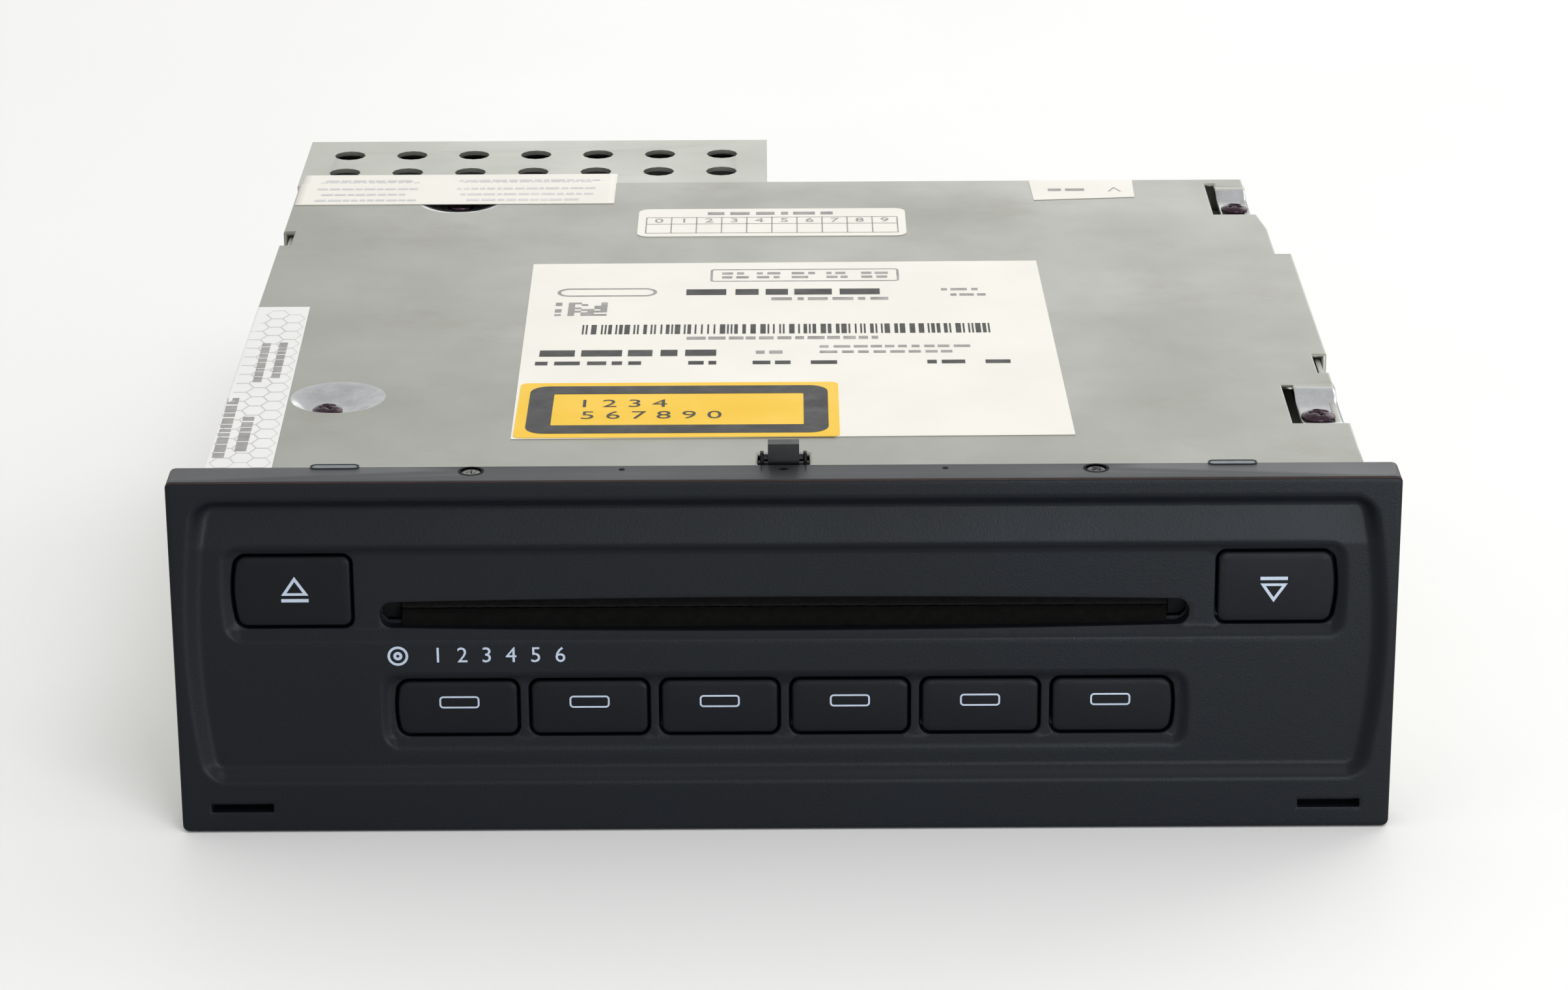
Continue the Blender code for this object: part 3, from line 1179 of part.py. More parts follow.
def chassis_blank():
    """The folded sheet without its tabs: floor, sides and two cross walls, set in at the right rear corner."""
    outer = COVER_HALF - SHEET - GAP
    inner = outer - SHEET
    lip = back(COVER_FRONT)
    front = back(CHASSIS_FRONT)
    rear = back(BODY_DEPTH - SHEET - GAP)
    above = WALL_TOP + OVERRUN
    corner_front = back(CORNER_WALL_FRONT)
    corner_inner = CORNER_WALL_OUTER - SHEET
    blank = scratch_object(block((-outer, outer), (lip, rear), (0, WALL_TOP)), "chassis_blank")
    cutters = [
        block((-inner, inner), (lip - OVERRUN, front), (SHEET, above)),
        block((-inner, inner), (front + SHEET, rear - SHEET), (SHEET, CORNER_WALL_BOTTOM)),
        block((-inner, inner), (front + SHEET, corner_front - SHEET), (CORNER_WALL_BOTTOM - SHEET, above)),
        block((-inner, corner_inner), (corner_front - OVERRUN, rear - SHEET),
              (CORNER_WALL_BOTTOM - SHEET, above)),
        block((CORNER_WALL_OUTER, outer + OVERRUN), (corner_front, rear + OVERRUN),
              (CORNER_WALL_BOTTOM + SHEET, above)),
    ]
    for cutter in cutters:
        combine(blank, cutter, "DIFFERENCE")
    return blank


def build_chassis():
    """Folded tray with tabs for the screws and bosses for the board."""
    outer = COVER_HALF - SHEET - GAP
    front = back(CHASSIS_FRONT)
    rear = back(BODY_DEPTH - SHEET - GAP)
    blank = chassis_blank()
    window = rectangle(-DISC_WINDOW_HALF, DISC_WINDOW_HALF, DISC_WINDOW_BOTTOM, DISC_WINDOW_TOP)
    combine(blank, prism([window], "y", front - OVERRUN, front + OVERRUN), "DIFFERENCE")
    tab_bottom = TAB_TOP - SHEET
    for side in (-1, 1):
        centre = side * TOP_SCREW_X
        tab = block((centre - TAB_HALF, centre + TAB_HALF), (back(TAB_FRONT), front + SHEET / 2),
                    (tab_bottom, TAB_TOP))
        combine(blank, tab, "UNION")
        for depth in (MAIN_BOARD_FRONT, MAIN_BOARD_REAR):
            inset = BOSS_INSET if depth == MAIN_BOARD_FRONT else -BOSS_INSET
            place = (side * (MAIN_BOARD_HALF - BOSS_INSET), back(depth + inset))
            boss = cylinder(BOARD_BOSS_RADIUS, "z", place, SHEET / 2, MAIN_BOARD_BOTTOM - GAP, SMALL_STEPS)
            combine(blank, boss, "UNION")
    for x, distance in COVER_SCREWS:
        near_rear = distance > BODY_DEPTH / 2
        y_range = (back(distance - BRACKET_TAB_HALF), back(distance + BRACKET_TAB_HALF))
        x_range = (SHEET / 2 - outer, x + BRACKET_TAB_HALF)
        if near_rear:
            y_range = (y_range[0], rear - SHEET / 2)
            x_range = (x - BRACKET_TAB_HALF, x + BRACKET_TAB_HALF)
        combine(blank, block(x_range, y_range, (BRACKET_TAB_TOP - SHEET, BRACKET_TAB_TOP)), "UNION")
    bm = bmesh.new()
    bm.from_mesh(blank.data)
    bpy.data.objects.remove(blank)
    piece("chassis", bm, "zinc_sheet", cut=chassis_screw_holes())


def chassis_screw_holes():
    holes = []
    for x, distance in COVER_SCREWS:
        holes.append(cylinder(COVER_SCREW_SHANK_RADIUS + GAP, "z", (x, back(distance)),
                              BRACKET_TAB_TOP - OVERRUN, BRACKET_TAB_TOP + OVERRUN / 2, SMALL_STEPS))
    for side in (-1, 1):
        holes.append(cylinder(TOP_SCREW_SHANK_RADIUS + GAP, "z", (side * TOP_SCREW_X, back(TOP_SCREW_BACK)),
                              TAB_TOP - OVERRUN, TAB_TOP + OVERRUN / 4, SMALL_STEPS))
    return holes


def build_vent_hood():
    """Lid behind the cover at the left, with two rows of round vents."""
    front = back(BODY_DEPTH + GAP)
    rear = back(OVERALL_DEPTH)
    bottom = HOOD_TOP - HOOD_DROP
    lid = block((HOOD_LEFT, HOOD_RIGHT), (front, rear), (bottom, HOOD_TOP))
    inside = block((HOOD_LEFT + SHEET, HOOD_RIGHT - SHEET), (front + SHEET, rear - SHEET),
                   (bottom - OVERRUN, HOOD_TOP - SHEET))
    hood = scratch_object(lid, "hood_blank")
    combine(hood, inside, "DIFFERENCE")
    holes = []
    for row in VENT_ROWS:
        for column in range(VENT_COLUMNS):
            centre = (VENT_FIRST_X + column * VENT_PITCH, back(row))
            ends = (HOOD_TOP - OVERRUN, HOOD_TOP + OVERRUN)
            holes.append(cylinder(VENT_RADIUS, "z", centre, *ends, SMALL_STEPS))
    bm = bmesh.new()
    bm.from_mesh(hood.data)
    bpy.data.objects.remove(hood)
    piece("vent_hood", bm, "zinc_sheet", cut=holes)


def build_harness_socket():
    """Plug socket on the rear wall, open to the back."""
    front = BODY_DEPTH - SHEET
    rear = front + SOCKET_LENGTH
    shell = block((SOCKET_LEFT, SOCKET_RIGHT), (back(front), back(rear)), (SOCKET_BOTTOM, SOCKET_TOP))
    inside = block((SOCKET_LEFT + SOCKET_WALL, SOCKET_RIGHT - SOCKET_WALL),
                   (back(front + SOCKET_FLOOR), back(rear) + OVERRUN),
                   (SOCKET_BOTTOM + SOCKET_WALL, SOCKET_TOP - SOCKET_WALL))
    piece("harness_socket", shell, "black_plastic", cut=(inside,))


def build_main_board():
    top = MAIN_BOARD_BOTTOM + BOARD_THICKNESS
    board = block((-MAIN_BOARD_HALF, MAIN_BOARD_HALF), (back(MAIN_BOARD_FRONT), back(MAIN_BOARD_REAR)),
                  (MAIN_BOARD_BOTTOM, top))
    chips = []
    for x, distance, width, length, height in CHIPS:
        chips.append(block((x - width / 2, x + width / 2),
                           (back(distance - length / 2), back(distance + length / 2)),
                           (top - SHEET, top + height)))
    piece("main_board", board, "board_green", added=(merged(chips),))


# Mechanism frame

def build_dampers():
    """Rubber bushes that carry the mechanism on the chassis floor."""
    low = SHEET + GAP
    high = BASE_BOTTOM - GAP
    waist = (low + high) / 2
    names = ("front_left", "front_right", "rear_left", "rear_right")
    places = [(side * DAMPER_X, distance) for distance in DAMPER_BACKS for side in (-1, 1)]
    for name, (x, distance) in zip(names, places):
        profile = [(0, low), (DAMPER_RADIUS, low), (DAMPER_WAIST, waist), (DAMPER_RADIUS, high), (0, high)]
        body = turned(profile, "z", (x, back(distance)), SMALL_STEPS)
        piece(f"damper_{name}", body, "rubber")


def build_mech_base():
    """Floating base: plate, two side walls, arm pivot, motor plate and motor saddle."""
    top = BASE_BOTTOM + BASE_THICKNESS
    outline = rectangle(-BASE_HALF, BASE_HALF, back(BASE_FRONT), back(BASE_REAR))
    window = rectangle(-BASE_WINDOW_HALF, BASE_WINDOW_HALF, back(BASE_WINDOW_FRONT), back(BASE_WINDOW_REAR))
    holes = [circle((x, back(distance)), LIFT_SHAFT_RADIUS + SHAFT_HOLE_CLEARANCE)
             for _name, x, distance in LIFT_SCREWS]
    plate = prism([outline, window] + holes, "z", BASE_BOTTOM, top)
    wall_top = TOP_PLATE_BOTTOM - GAP
    wall_outline = rectangle(back(MECH_WALL_FRONT), back(MECH_WALL_REAR), top - BASE_THICKNESS / 2, wall_top)
    wall_window = rectangle(back(MECH_WINDOW_FRONT), back(MECH_WINDOW_REAR),
                            MECH_WINDOW_BOTTOM, MECH_WINDOW_TOP)
    base = scratch_object(plate, "base_blank")
    for side in (-1, 1):
        ends = sorted((side * BASE_HALF, side * (BASE_HALF - SHEET)))
        combine(base, prism([wall_outline, wall_window], "x", *ends), "UNION")
    pivot = [(0, BASE_BOTTOM + BASE_THICKNESS / 2), (PIVOT_COLLAR_RADIUS, BASE_BOTTOM + BASE_THICKNESS / 2),
             (PIVOT_COLLAR_RADIUS, ARM_HUB_BOTTOM - GAP), (PIVOT_RADIUS, ARM_HUB_BOTTOM - GAP),
             (PIVOT_RADIUS, PIVOT_TOP), (0, PIVOT_TOP)]
    combine(base, turned(pivot, "z", (ARM_PIVOT_X, back(ARM_PIVOT_BACK))), "UNION")
    motor_x, motor_y = lift_motor_centre()
    shelf = prism([rectangle(motor_x - MOTOR_PLATE_HALF, BASE_HALF - SHEET / 2,
                             motor_y - MOTOR_PLATE_HALF, motor_y + MOTOR_PLATE_HALF),
                   circle((motor_x, motor_y), MOTOR_SHAFT_RADIUS + 2 * GAP)],
                  "z", MOTOR_PLATE_BOTTOM, MOTOR_PLATE_BOTTOM + SHEET)
    combine(base, shelf, "UNION")
    saddle_y, saddle_z = loading_motor_centre()
    saddle_top = saddle_z - LOADING_MOTOR_RADIUS - GAP
    saddle = block((LOADING_MOTOR_X + OVERRUN, LOADING_MOTOR_X + LOADING_MOTOR_LENGTH - OVERRUN),
                   (saddle_y - SADDLE_HALF, saddle_y + SADDLE_HALF), (top - BASE_THICKNESS / 2, saddle_top))
    combine(base, saddle, "UNION")
    bm = bmesh.new()
    bm.from_mesh(base.data)
    bpy.data.objects.remove(base)
    piece("mech_base", bm, "zinc_sheet")


def build_mech_top_plate():
    """Upper frame plate that steadies the tops of the lift screws."""
    outline = rectangle(-BASE_HALF, BASE_HALF, back(BASE_FRONT), back(BASE_REAR))
    window = rectangle(-TOP_WINDOW_HALF, TOP_WINDOW_HALF, back(TOP_WINDOW_FRONT), back(TOP_WINDOW_REAR))
    holes = [circle((x, back(distance)), LIFT_SHAFT_RADIUS + SHAFT_HOLE_CLEARANCE)
             for _name, x, distance in LIFT_SCREWS]
    piece("mech_top_plate", prism([outline, window] + holes, "z", TOP_PLATE_BOTTOM, TOP_PLATE_BOTTOM + SHEET),
          "zinc_sheet")


# Disc loading

def idler_centre():
    roller_y, roller_z = roller_centre()
    return roller_y, roller_z - LOADING_MODULE * (ROLLER_TEETH + IDLER_TEETH) / 2


def roller_centre():
    """Axis of the roller: its top just touches the underside of a disc in the slot."""
    disc_underside = DISC_LEVEL - DISC_THICKNESS / 2
    return back(ROLLER_BACK), disc_underside - GAP / 2 - ROLLER_RADIUS


def loading_motor_centre():
    idler_y, idler_z = idler_centre()
    distance = LOADING_MODULE * (IDLER_TEETH + LOADING_PINION_TEETH) / 2
    return (idler_y + distance * math.cos(LOADING_MOTOR_ANGLE),
            idler_z + distance * math.sin(LOADING_MOTOR_ANGLE))


def build_loading_drive():
    centre_y, centre_z = roller_centre()
    gear_end = LOADING_GEAR_X + GEAR_THICKNESS
    shaft = ROLLER_SHAFT_RADIUS
    left_end = -(BRACKET_INNER + BRACKET_THICKNESS + BUTTON_LIP)
    right_end = gear_end + GAP
    waist = ROLLER_HALF / 3
    profile = [(0, left_end), (shaft, left_end), (shaft, -ROLLER_HALF), (ROLLER_RADIUS, -ROLLER_HALF),
               (ROLLER_WAIST_RADIUS, -waist), (ROLLER_WAIST_RADIUS, waist), (ROLLER_RADIUS, ROLLER_HALF),
               (shaft, ROLLER_HALF), (shaft, right_end), (0, right_end)]
    roller = turned(profile, "x", (0, 0), SMALL_STEPS)
    piece("loading_roller", roller, "rubber", origin=(0, centre_y, centre_z))
    down = -math.pi / 2
    up = math.pi / 2
    roller_phase = down
    idler_phase = meshed_phase(roller_phase, ROLLER_TEETH, IDLER_TEETH, down)
    pinion_phase = meshed_phase(idler_phase, IDLER_TEETH, LOADING_PINION_TEETH, LOADING_MOTOR_ANGLE)
    idler_y, idler_z = idler_centre()
    motor_y, motor_z = loading_motor_centre()
    bore = circle((0, 0), ROLLER_SHAFT_RADIUS + SHAFT_HOLE_CLEARANCE)
    roller_gear = prism([gear_outline(ROLLER_TEETH, LOADING_MODULE, (0, 0), roller_phase), bore],
                        "x", LOADING_GEAR_X, gear_end)
    piece("roller_gear", roller_gear, "white_plastic", origin=(0, centre_y, centre_z))
    idler = prism([gear_outline(IDLER_TEETH, LOADING_MODULE, (0, 0), idler_phase), bore],
                  "x", LOADING_GEAR_X, gear_end)
    piece("idler_gear", idler, "white_plastic", origin=(0, idler_y, idler_z))
    pinion = prism([gear_outline(LOADING_PINION_TEETH, LOADING_MODULE, (0, 0), pinion_phase)],
                   "x", LOADING_GEAR_X, gear_end)
    shaft_stub = cylinder(MOTOR_SHAFT_RADIUS, "x", (0, 0), gear_end - POST_SINK, LOADING_MOTOR_X - GAP,
                          SMALL_STEPS)
    piece("loading_pinion", pinion, "brass", origin=(0, motor_y, motor_z), added=(shaft_stub,))
    can = cylinder(LOADING_MOTOR_RADIUS, "x", (motor_y, motor_z), LOADING_MOTOR_X,
                   LOADING_MOTOR_X + LOADING_MOTOR_LENGTH)
    piece("loading_motor", can, "motor_can")


def build_roller_bracket():
    """Folded bracket that carries the roller and the idler gear, with the disc guide across its top."""
    centre_y, centre_z = roller_centre()
    idler_y, idler_z = idler_centre()
    front = centre_y - BRACKET_HALF_DEPTH
    rear = centre_y + BRACKET_HALF_DEPTH
    outer = BRACKET_INNER + BRACKET_THICKNESS
    floor_bottom = BASE_BOTTOM + BASE_THICKNESS + GAP
    floor_top = floor_bottom + BRACKET_THICKNESS
    foot_rear = centre_y + BRACKET_FOOT_REACH
    floor = block((-outer, outer), (front, foot_rear), (floor_bottom, floor_top))
    wall_top = DISC_GUIDE_BOTTOM + SHEET / 2
    wall_bottom = floor_top - BRACKET_THICKNESS / 2
    wall = [(front, wall_bottom), (foot_rear, wall_bottom), (foot_rear, BRACKET_FOOT_TOP),
            (rear, BRACKET_FOOT_TOP), (rear, wall_top), (front, wall_top)]
    walls = []
    for side in (-1, 1):
        hole = circle((centre_y, centre_z), ROLLER_SHAFT_RADIUS + SHAFT_HOLE_CLEARANCE)
        ends = sorted((side * BRACKET_INNER, side * outer))
        walls.append(prism([wall, hole], "x", *ends))
    pin = cylinder(ROLLER_SHAFT_RADIUS, "x", (idler_y, idler_z), BRACKET_INNER + BRACKET_THICKNESS / 2,
                   LOADING_GEAR_X + GEAR_THICKNESS + GAP, SMALL_STEPS)
    guide = block((-outer, outer), (front, rear), (DISC_GUIDE_BOTTOM, DISC_GUIDE_BOTTOM + SHEET))
    piece("roller_bracket", floor, "zinc_sheet", added=(walls[0], walls[1], guide, pin))


# Tray lift

def lift_gear_centre():
    _name, x, distance = LIFT_SCREWS[1]
    return x, back(distance)


def lift_motor_centre():
    x, y = lift_gear_centre()
    distance = LIFT_MODULE * (LIFT_GEAR_TEETH + LIFT_PINION_TEETH) / 2
    return x + distance * math.cos(LIFT_MOTOR_ANGLE), y + distance * math.sin(LIFT_MOTOR_ANGLE)


def build_lift_screws():
    """Four threaded posts, each with its belt pulley at the foot."""
    pulley_top = PULLEY_BOTTOM + PULLEY_THICKNESS
    thread_top = LIFT_THREAD_BOTTOM + LIFT_THREAD_TURNS * LIFT_LEAD
    below = [(PULLEY_RADIUS, PULLEY_BOTTOM), (PULLEY_RADIUS, pulley_top), (LIFT_SHAFT_RADIUS, pulley_top),
             (LIFT_SHAFT_RADIUS, LIFT_THREAD_BOTTOM - GAP)]
    above = [(LIFT_SHAFT_RADIUS, thread_top + GAP), (LIFT_SHAFT_RADIUS, LIFT_TOP)]
    for name, x, distance in LIFT_SCREWS:
        rod = threaded_rod((below, above), LIFT_RADIUS, LIFT_GROOVE, LIFT_LEAD, LIFT_THREAD_BOTTOM,
                           LIFT_THREAD_TURNS, LIFT_RINGS_PER_TURN, LIFT_STEPS)
        piece(f"lift_screw_{name}", rod, "steel", origin=(x, back(distance), 0))


def build_lift_drive():
    gear_x, gear_y = lift_gear_centre()
    motor_x, motor_y = lift_motor_centre()
    gear_top = LIFT_GEAR_BOTTOM + GEAR_THICKNESS
    bore = circle((0, 0), LIFT_SHAFT_RADIUS + SHAFT_HOLE_CLEARANCE)
    gear = prism([gear_outline(LIFT_GEAR_TEETH, LIFT_MODULE, (0, 0), LIFT_MOTOR_ANGLE), bore],
                 "z", LIFT_GEAR_BOTTOM, gear_top)
    piece("lift_gear", gear, "white_plastic", origin=(gear_x, gear_y, 0))
    pinion_phase = meshed_phase(LIFT_MOTOR_ANGLE, LIFT_GEAR_TEETH, LIFT_PINION_TEETH, LIFT_MOTOR_ANGLE)
    pinion = prism([gear_outline(LIFT_PINION_TEETH, LIFT_MODULE, (0, 0), pinion_phase)],
                   "z", LIFT_GEAR_BOTTOM, gear_top)
    motor_bottom = MOTOR_PLATE_BOTTOM + SHEET + GAP
    stub = cylinder(MOTOR_SHAFT_RADIUS, "z", (0, 0), gear_top - POST_SINK, motor_bottom - GAP, SMALL_STEPS)
    piece("lift_pinion", pinion, "brass", origin=(motor_x, motor_y, 0), added=(stub,))
    can = cylinder(LIFT_MOTOR_RADIUS, "z", (motor_x, motor_y), motor_bottom, LIFT_MOTOR_TOP)
    piece("lift_motor", can, "motor_can")


def build_lift_belt():
    """Belt loop around the four pulleys."""
    order = (0, 1, 3, 2)
    centres = [(LIFT_SCREWS[index][1], back(LIFT_SCREWS[index][2])) for index in order]
    inner = belt_outline(centres, PULLEY_RADIUS + GAP)
    outer = belt_outline(centres, PULLEY_RADIUS + GAP + BELT_THICKNESS)
    low = PULLEY_BOTTOM + GAP / 3
    piece("lift_belt", prism([outer, inner], "z", low, PULLEY_BOTTOM + PULLEY_THICKNESS - GAP / 3), "rubber")


def tray_outline():
    """Horseshoe tray: open to the front, round inside, cut corners at the rear."""
    centre = (0, back(DISC_CENTRE_BACK))
    front = back(TRAY_FRONT)
    rear = back(TRAY_REAR)
    half = TRAY_HALF
    inner = arc(centre, TRAY_HOLE_RADIUS, math.pi, 0, 2 * ARC_STEPS)
    outer = [(TRAY_HOLE_RADIUS, front), (half, front), (half, rear - TRAY_CORNER),
             (half - TRAY_CORNER, rear), (TRAY_CORNER - half, rear), (-half, rear - TRAY_CORNER),
             (-half, front), (-TRAY_HOLE_RADIUS, front)]
    return outer + inner


def build_trays():
    """Six trays on the lift screws; the lowest stands level with the slot."""
    holes = [circle((x, back(distance)), LIFT_RADIUS + LIFT_CLEARANCE) for _name, x, distance in LIFT_SCREWS]
    for number in range(TRAY_COUNT):
        top = FIRST_TRAY_TOP + number * TRAY_PITCH
        tray = prism([tray_outline()] + holes, "z", top - TRAY_THICKNESS, top)
        piece(f"disc_tray_{TRAY_COUNT - number}", tray, "white_plastic")


# Play arm. Modelled along +X from its pivot, with its sides along Y, then turned to point at the face

ARM_TURN = -math.pi / 2


def arm_piece(name, bm, finish_name, place, added=(), cut=()):
    """A piece of the parked arm whose own origin stands at this (along, side, height) on the arm."""
    along, side, height = place
    origin = (ARM_PIVOT_X + side, back(ARM_PIVOT_BACK) - along, height)
    return piece(name, bm, finish_name, origin=origin, turn=ARM_TURN, added=added, cut=cut)


def build_swing_arm():
    top = ARM_BOTTOM + ARM_THICKNESS
    quarter = math.pi / 2
    outline = arc((0, 0), ARM_ROOT_RADIUS, quarter, 3 * quarter)
    outline += [(ARM_SHOULDER, -ARM_HALF), (ARM_LENGTH - ARM_TIP_RADIUS / 2, -ARM_HALF)]
    outline += arc((ARM_LENGTH, 0), ARM_TIP_RADIUS, -ARM_TIP_ANGLE, ARM_TIP_ANGLE)
    outline += [(ARM_LENGTH - ARM_TIP_RADIUS / 2, ARM_HALF), (ARM_SHOULDER, ARM_HALF)]
    window = rectangle(ARM_WINDOW_START, ARM_WINDOW_END, -ARM_WINDOW_HALF, ARM_WINDOW_HALF)
    spindle_hole = circle((ARM_LENGTH, 0), SPINDLE_HOLE_RADIUS)
    plate = prism([outline, window, spindle_hole], "z", ARM_BOTTOM, top)
    arm = scratch_object(plate, "arm_blank")
    combine(arm, cylinder(ARM_HUB_RADIUS, "z", (0, 0), ARM_HUB_BOTTOM, ARM_HUB_TOP), "UNION")
    for side in (-1, 1):
        ends = sorted((side * EAR_INNER, side * (EAR_INNER + EAR_THICKNESS)))
        ear = rectangle(EAR_CENTRE - EAR_HALF, EAR_CENTRE + EAR_HALF, top - ARM_THICKNESS / 2, EAR_TOP)
        ear_hole = circle((EAR_CENTRE, HINGE_HEIGHT), HINGE_RADIUS + GAP)
        combine(arm, prism([ear, ear_hole], "y", *ends), "UNION")
        for start in ROD_TAB_STARTS:
            tab = rectangle(side * ROD_SIDE - ROD_TAB_HALF, side * ROD_SIDE + ROD_TAB_HALF,
                            ROD_TAB_BOTTOM, top - ARM_THICKNESS / 2)
            hole = circle((side * ROD_SIDE, ROD_HEIGHT), FEED_RADIUS + GAP, SMALL_STEPS)
            combine(arm, prism([tab, hole], "x", start, start + ROD_TAB_LENGTH), "UNION")
    pivot_hole = cylinder(PIVOT_RADIUS + GAP, "z", (0, 0), ARM_HUB_BOTTOM - OVERRUN, ARM_HUB_TOP + OVERRUN)
    combine(arm, pivot_hole, "DIFFERENCE")
    bm = bmesh.new()
    bm.from_mesh(arm.data)
    bpy.data.objects.remove(arm)
    arm_piece("swing_arm", bm, "steel", (0, 0, 0))


def build_spindle():
    motor_top = ARM_BOTTOM - GAP
    motor = cylinder(SPINDLE_MOTOR_RADIUS, "z", (0, 0), SPINDLE_MOTOR_BOTTOM, motor_top)
    arm_piece("spindle_motor", motor, "motor_can", (ARM_LENGTH, 0, 0))
    table_top = TURNTABLE_BOTTOM + TURNTABLE_THICKNESS
    cone_top = table_top + CONE_HEIGHT
    profile = [(0, ARM_BOTTOM), (SPINDLE_SHAFT_RADIUS, ARM_BOTTOM), (SPINDLE_SHAFT_RADIUS, TURNTABLE_BOTTOM),
               (TURNTABLE_RADIUS, TURNTABLE_BOTTOM), (TURNTABLE_RADIUS, table_top), (CONE_RADIUS, table_top),
               (CONE_TOP_RADIUS, cone_top), (0, cone_top)]
    arm_piece("turntable", turned(profile, "z", (0, 0)), "white_plastic", (ARM_LENGTH, 0, 0))


def build_pickup():
    """Laser sled between the guide rod and the feed screw."""
    sled = block((-PICKUP_HALF_LENGTH, PICKUP_HALF_LENGTH), (-PICKUP_HALF_WIDTH, PICKUP_HALF_WIDTH),
                 (PICKUP_BOTTOM, PICKUP_TOP))
    lens = cylinder(LENS_RADIUS, "z", (0, 0), PICKUP_TOP - POST_SINK, LENS_TOP, SMALL_STEPS)
    lugs = []
    for side in (-1, 1):
        ends = sorted((side * (PICKUP_HALF_WIDTH - POST_SINK), side * PICKUP_LUG_OUTER))
        lug = rectangle(*ends, PICKUP_LUG_BOTTOM, PICKUP_LUG_TOP)
        bore = circle((side * ROD_SIDE, ROD_HEIGHT), FEED_RADIUS + GAP, SMALL_STEPS)
        lugs.append(prism([lug, bore], "x", -PICKUP_LUG_HALF, PICKUP_LUG_HALF))
    arm_piece("laser_pickup", sled, "pickup_black", (PICKUP_CENTRE, 0, 0), added=(lens, lugs[0], lugs[1]))


def laid_along_arm(bm):
    """A rod that was modelled along Z, laid along the arm instead."""
    bmesh.ops.rotate(bm, verts=bm.verts[:], cent=(0, 0, 0), matrix=Matrix.Rotation(math.pi / 2, 3, "Y"))
    return bm


def build_rods():
    guide = cylinder(ROD_RADIUS, "x", (0, 0), ROD_START, ROD_END, SMALL_STEPS)
    arm_piece("guide_rod", guide, "steel", (0, -ROD_SIDE, ROD_HEIGHT))
    turns = (ROD_END - ROD_START - 2 * OVERRUN) / FEED_LEAD
    start = ROD_START + OVERRUN
    plain = FEED_RADIUS - FEED_GROOVE
    below = [(plain, ROD_START), (plain, start - GAP)]
    above = [(plain, ROD_END - OVERRUN + GAP), (plain, ROD_END)]
    rod = threaded_rod((below, above), FEED_RADIUS, FEED_GROOVE, FEED_LEAD, start, turns, FEED_RINGS_PER_TURN,
                       SMALL_STEPS // 2)
    arm_piece("feed_screw", laid_along_arm(rod), "steel", (0, ROD_SIDE, ROD_HEIGHT))
    outline = rounded_rectangle(ROD_SIDE - FEED_MOTOR_HALF, ROD_SIDE + FEED_MOTOR_HALF,
                                FEED_MOTOR_BOTTOM, ARM_BOTTOM - GAP, FEED_MOTOR_CORNER)
    motor = prism([outline], "x", FEED_MOTOR_START, FEED_MOTOR_END)
    arm_piece("feed_motor", motor, "motor_can", (0, 0, 0))


def build_clamp():
    """Clamp arm above the turntable, hinged on the swing arm's ears, and the clamper that it holds."""
    reach = ARM_LENGTH - EAR_CENTRE
    half = CLAMP_THICKNESS / 2
    outline = [(CLAMP_START - EAR_CENTRE, -CLAMP_ROOT_HALF), (EAR_CENTRE, -CLAMP_ROOT_HALF)]
    outline += arc((reach, 0), CLAMP_TIP_HALF, -math.pi / 2, math.pi / 2)
    outline += [(EAR_CENTRE, CLAMP_ROOT_HALF), (CLAMP_START - EAR_CENTRE, CLAMP_ROOT_HALF)]
    hole = circle((reach, 0), CLAMP_HOLE_RADIUS, ROUND_STEPS)
    plate = prism([outline, hole], "z", -half, half)
    ends = (-(EAR_INNER + EAR_THICKNESS), EAR_INNER + EAR_THICKNESS)
    barrel = cylinder(HINGE_RADIUS, "y", (0, 0), *ends, SMALL_STEPS)
    arm_piece("clamp_arm", plate, "steel", (EAR_CENTRE, 0, HINGE_HEIGHT), added=(barrel,))
    low = CLAMPER_BOTTOM
    disc_top = low + CLAMPER_THICKNESS
    cap_bottom = HINGE_HEIGHT + half + GAP
    profile = [(0, low), (CLAMPER_RADIUS, low), (CLAMPER_RADIUS, disc_top), (CLAMPER_NECK_RADIUS, disc_top),
               (CLAMPER_NECK_RADIUS, cap_bottom), (CLAMPER_CAP_RADIUS, cap_bottom),
               (CLAMPER_CAP_RADIUS, cap_bottom + CLAMPER_CAP), (0, cap_bottom + CLAMPER_CAP)]
    arm_piece("clamper", turned(profile, "z", (0, 0)), "black_plastic", (ARM_LENGTH, 0, 0))


def build_all():
    for thing in list(bpy.data.objects):
        bpy.data.objects.remove(thing)
    build_bezel()
    build_buttons()
    build_dust_lips()
    build_slot_guides()
    build_switch_mat()
    build_button_board()
    build_screws()
    build_catch()
    build_top_cover()
    build_chassis()
    build_vent_hood()
    build_harness_socket()
    build_main_board()
    build_dampers()
    build_mech_base()
    build_mech_top_plate()
    build_roller_bracket()
    build_loading_drive()
    build_lift_screws()
    build_lift_drive()
    build_lift_belt()
    build_trays()
    build_swing_arm()
    build_spindle()
    build_pickup()
    build_rods()
    build_clamp()


build_all()
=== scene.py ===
"""Studio scene of the car CD changer: materials for its solids, and its print, labels and small trim."""
import copy
import json
import math
import random

import bmesh
import bpy
from mathutils import Matrix, Vector
from mathutils.geometry import delaunay_2d_cdt


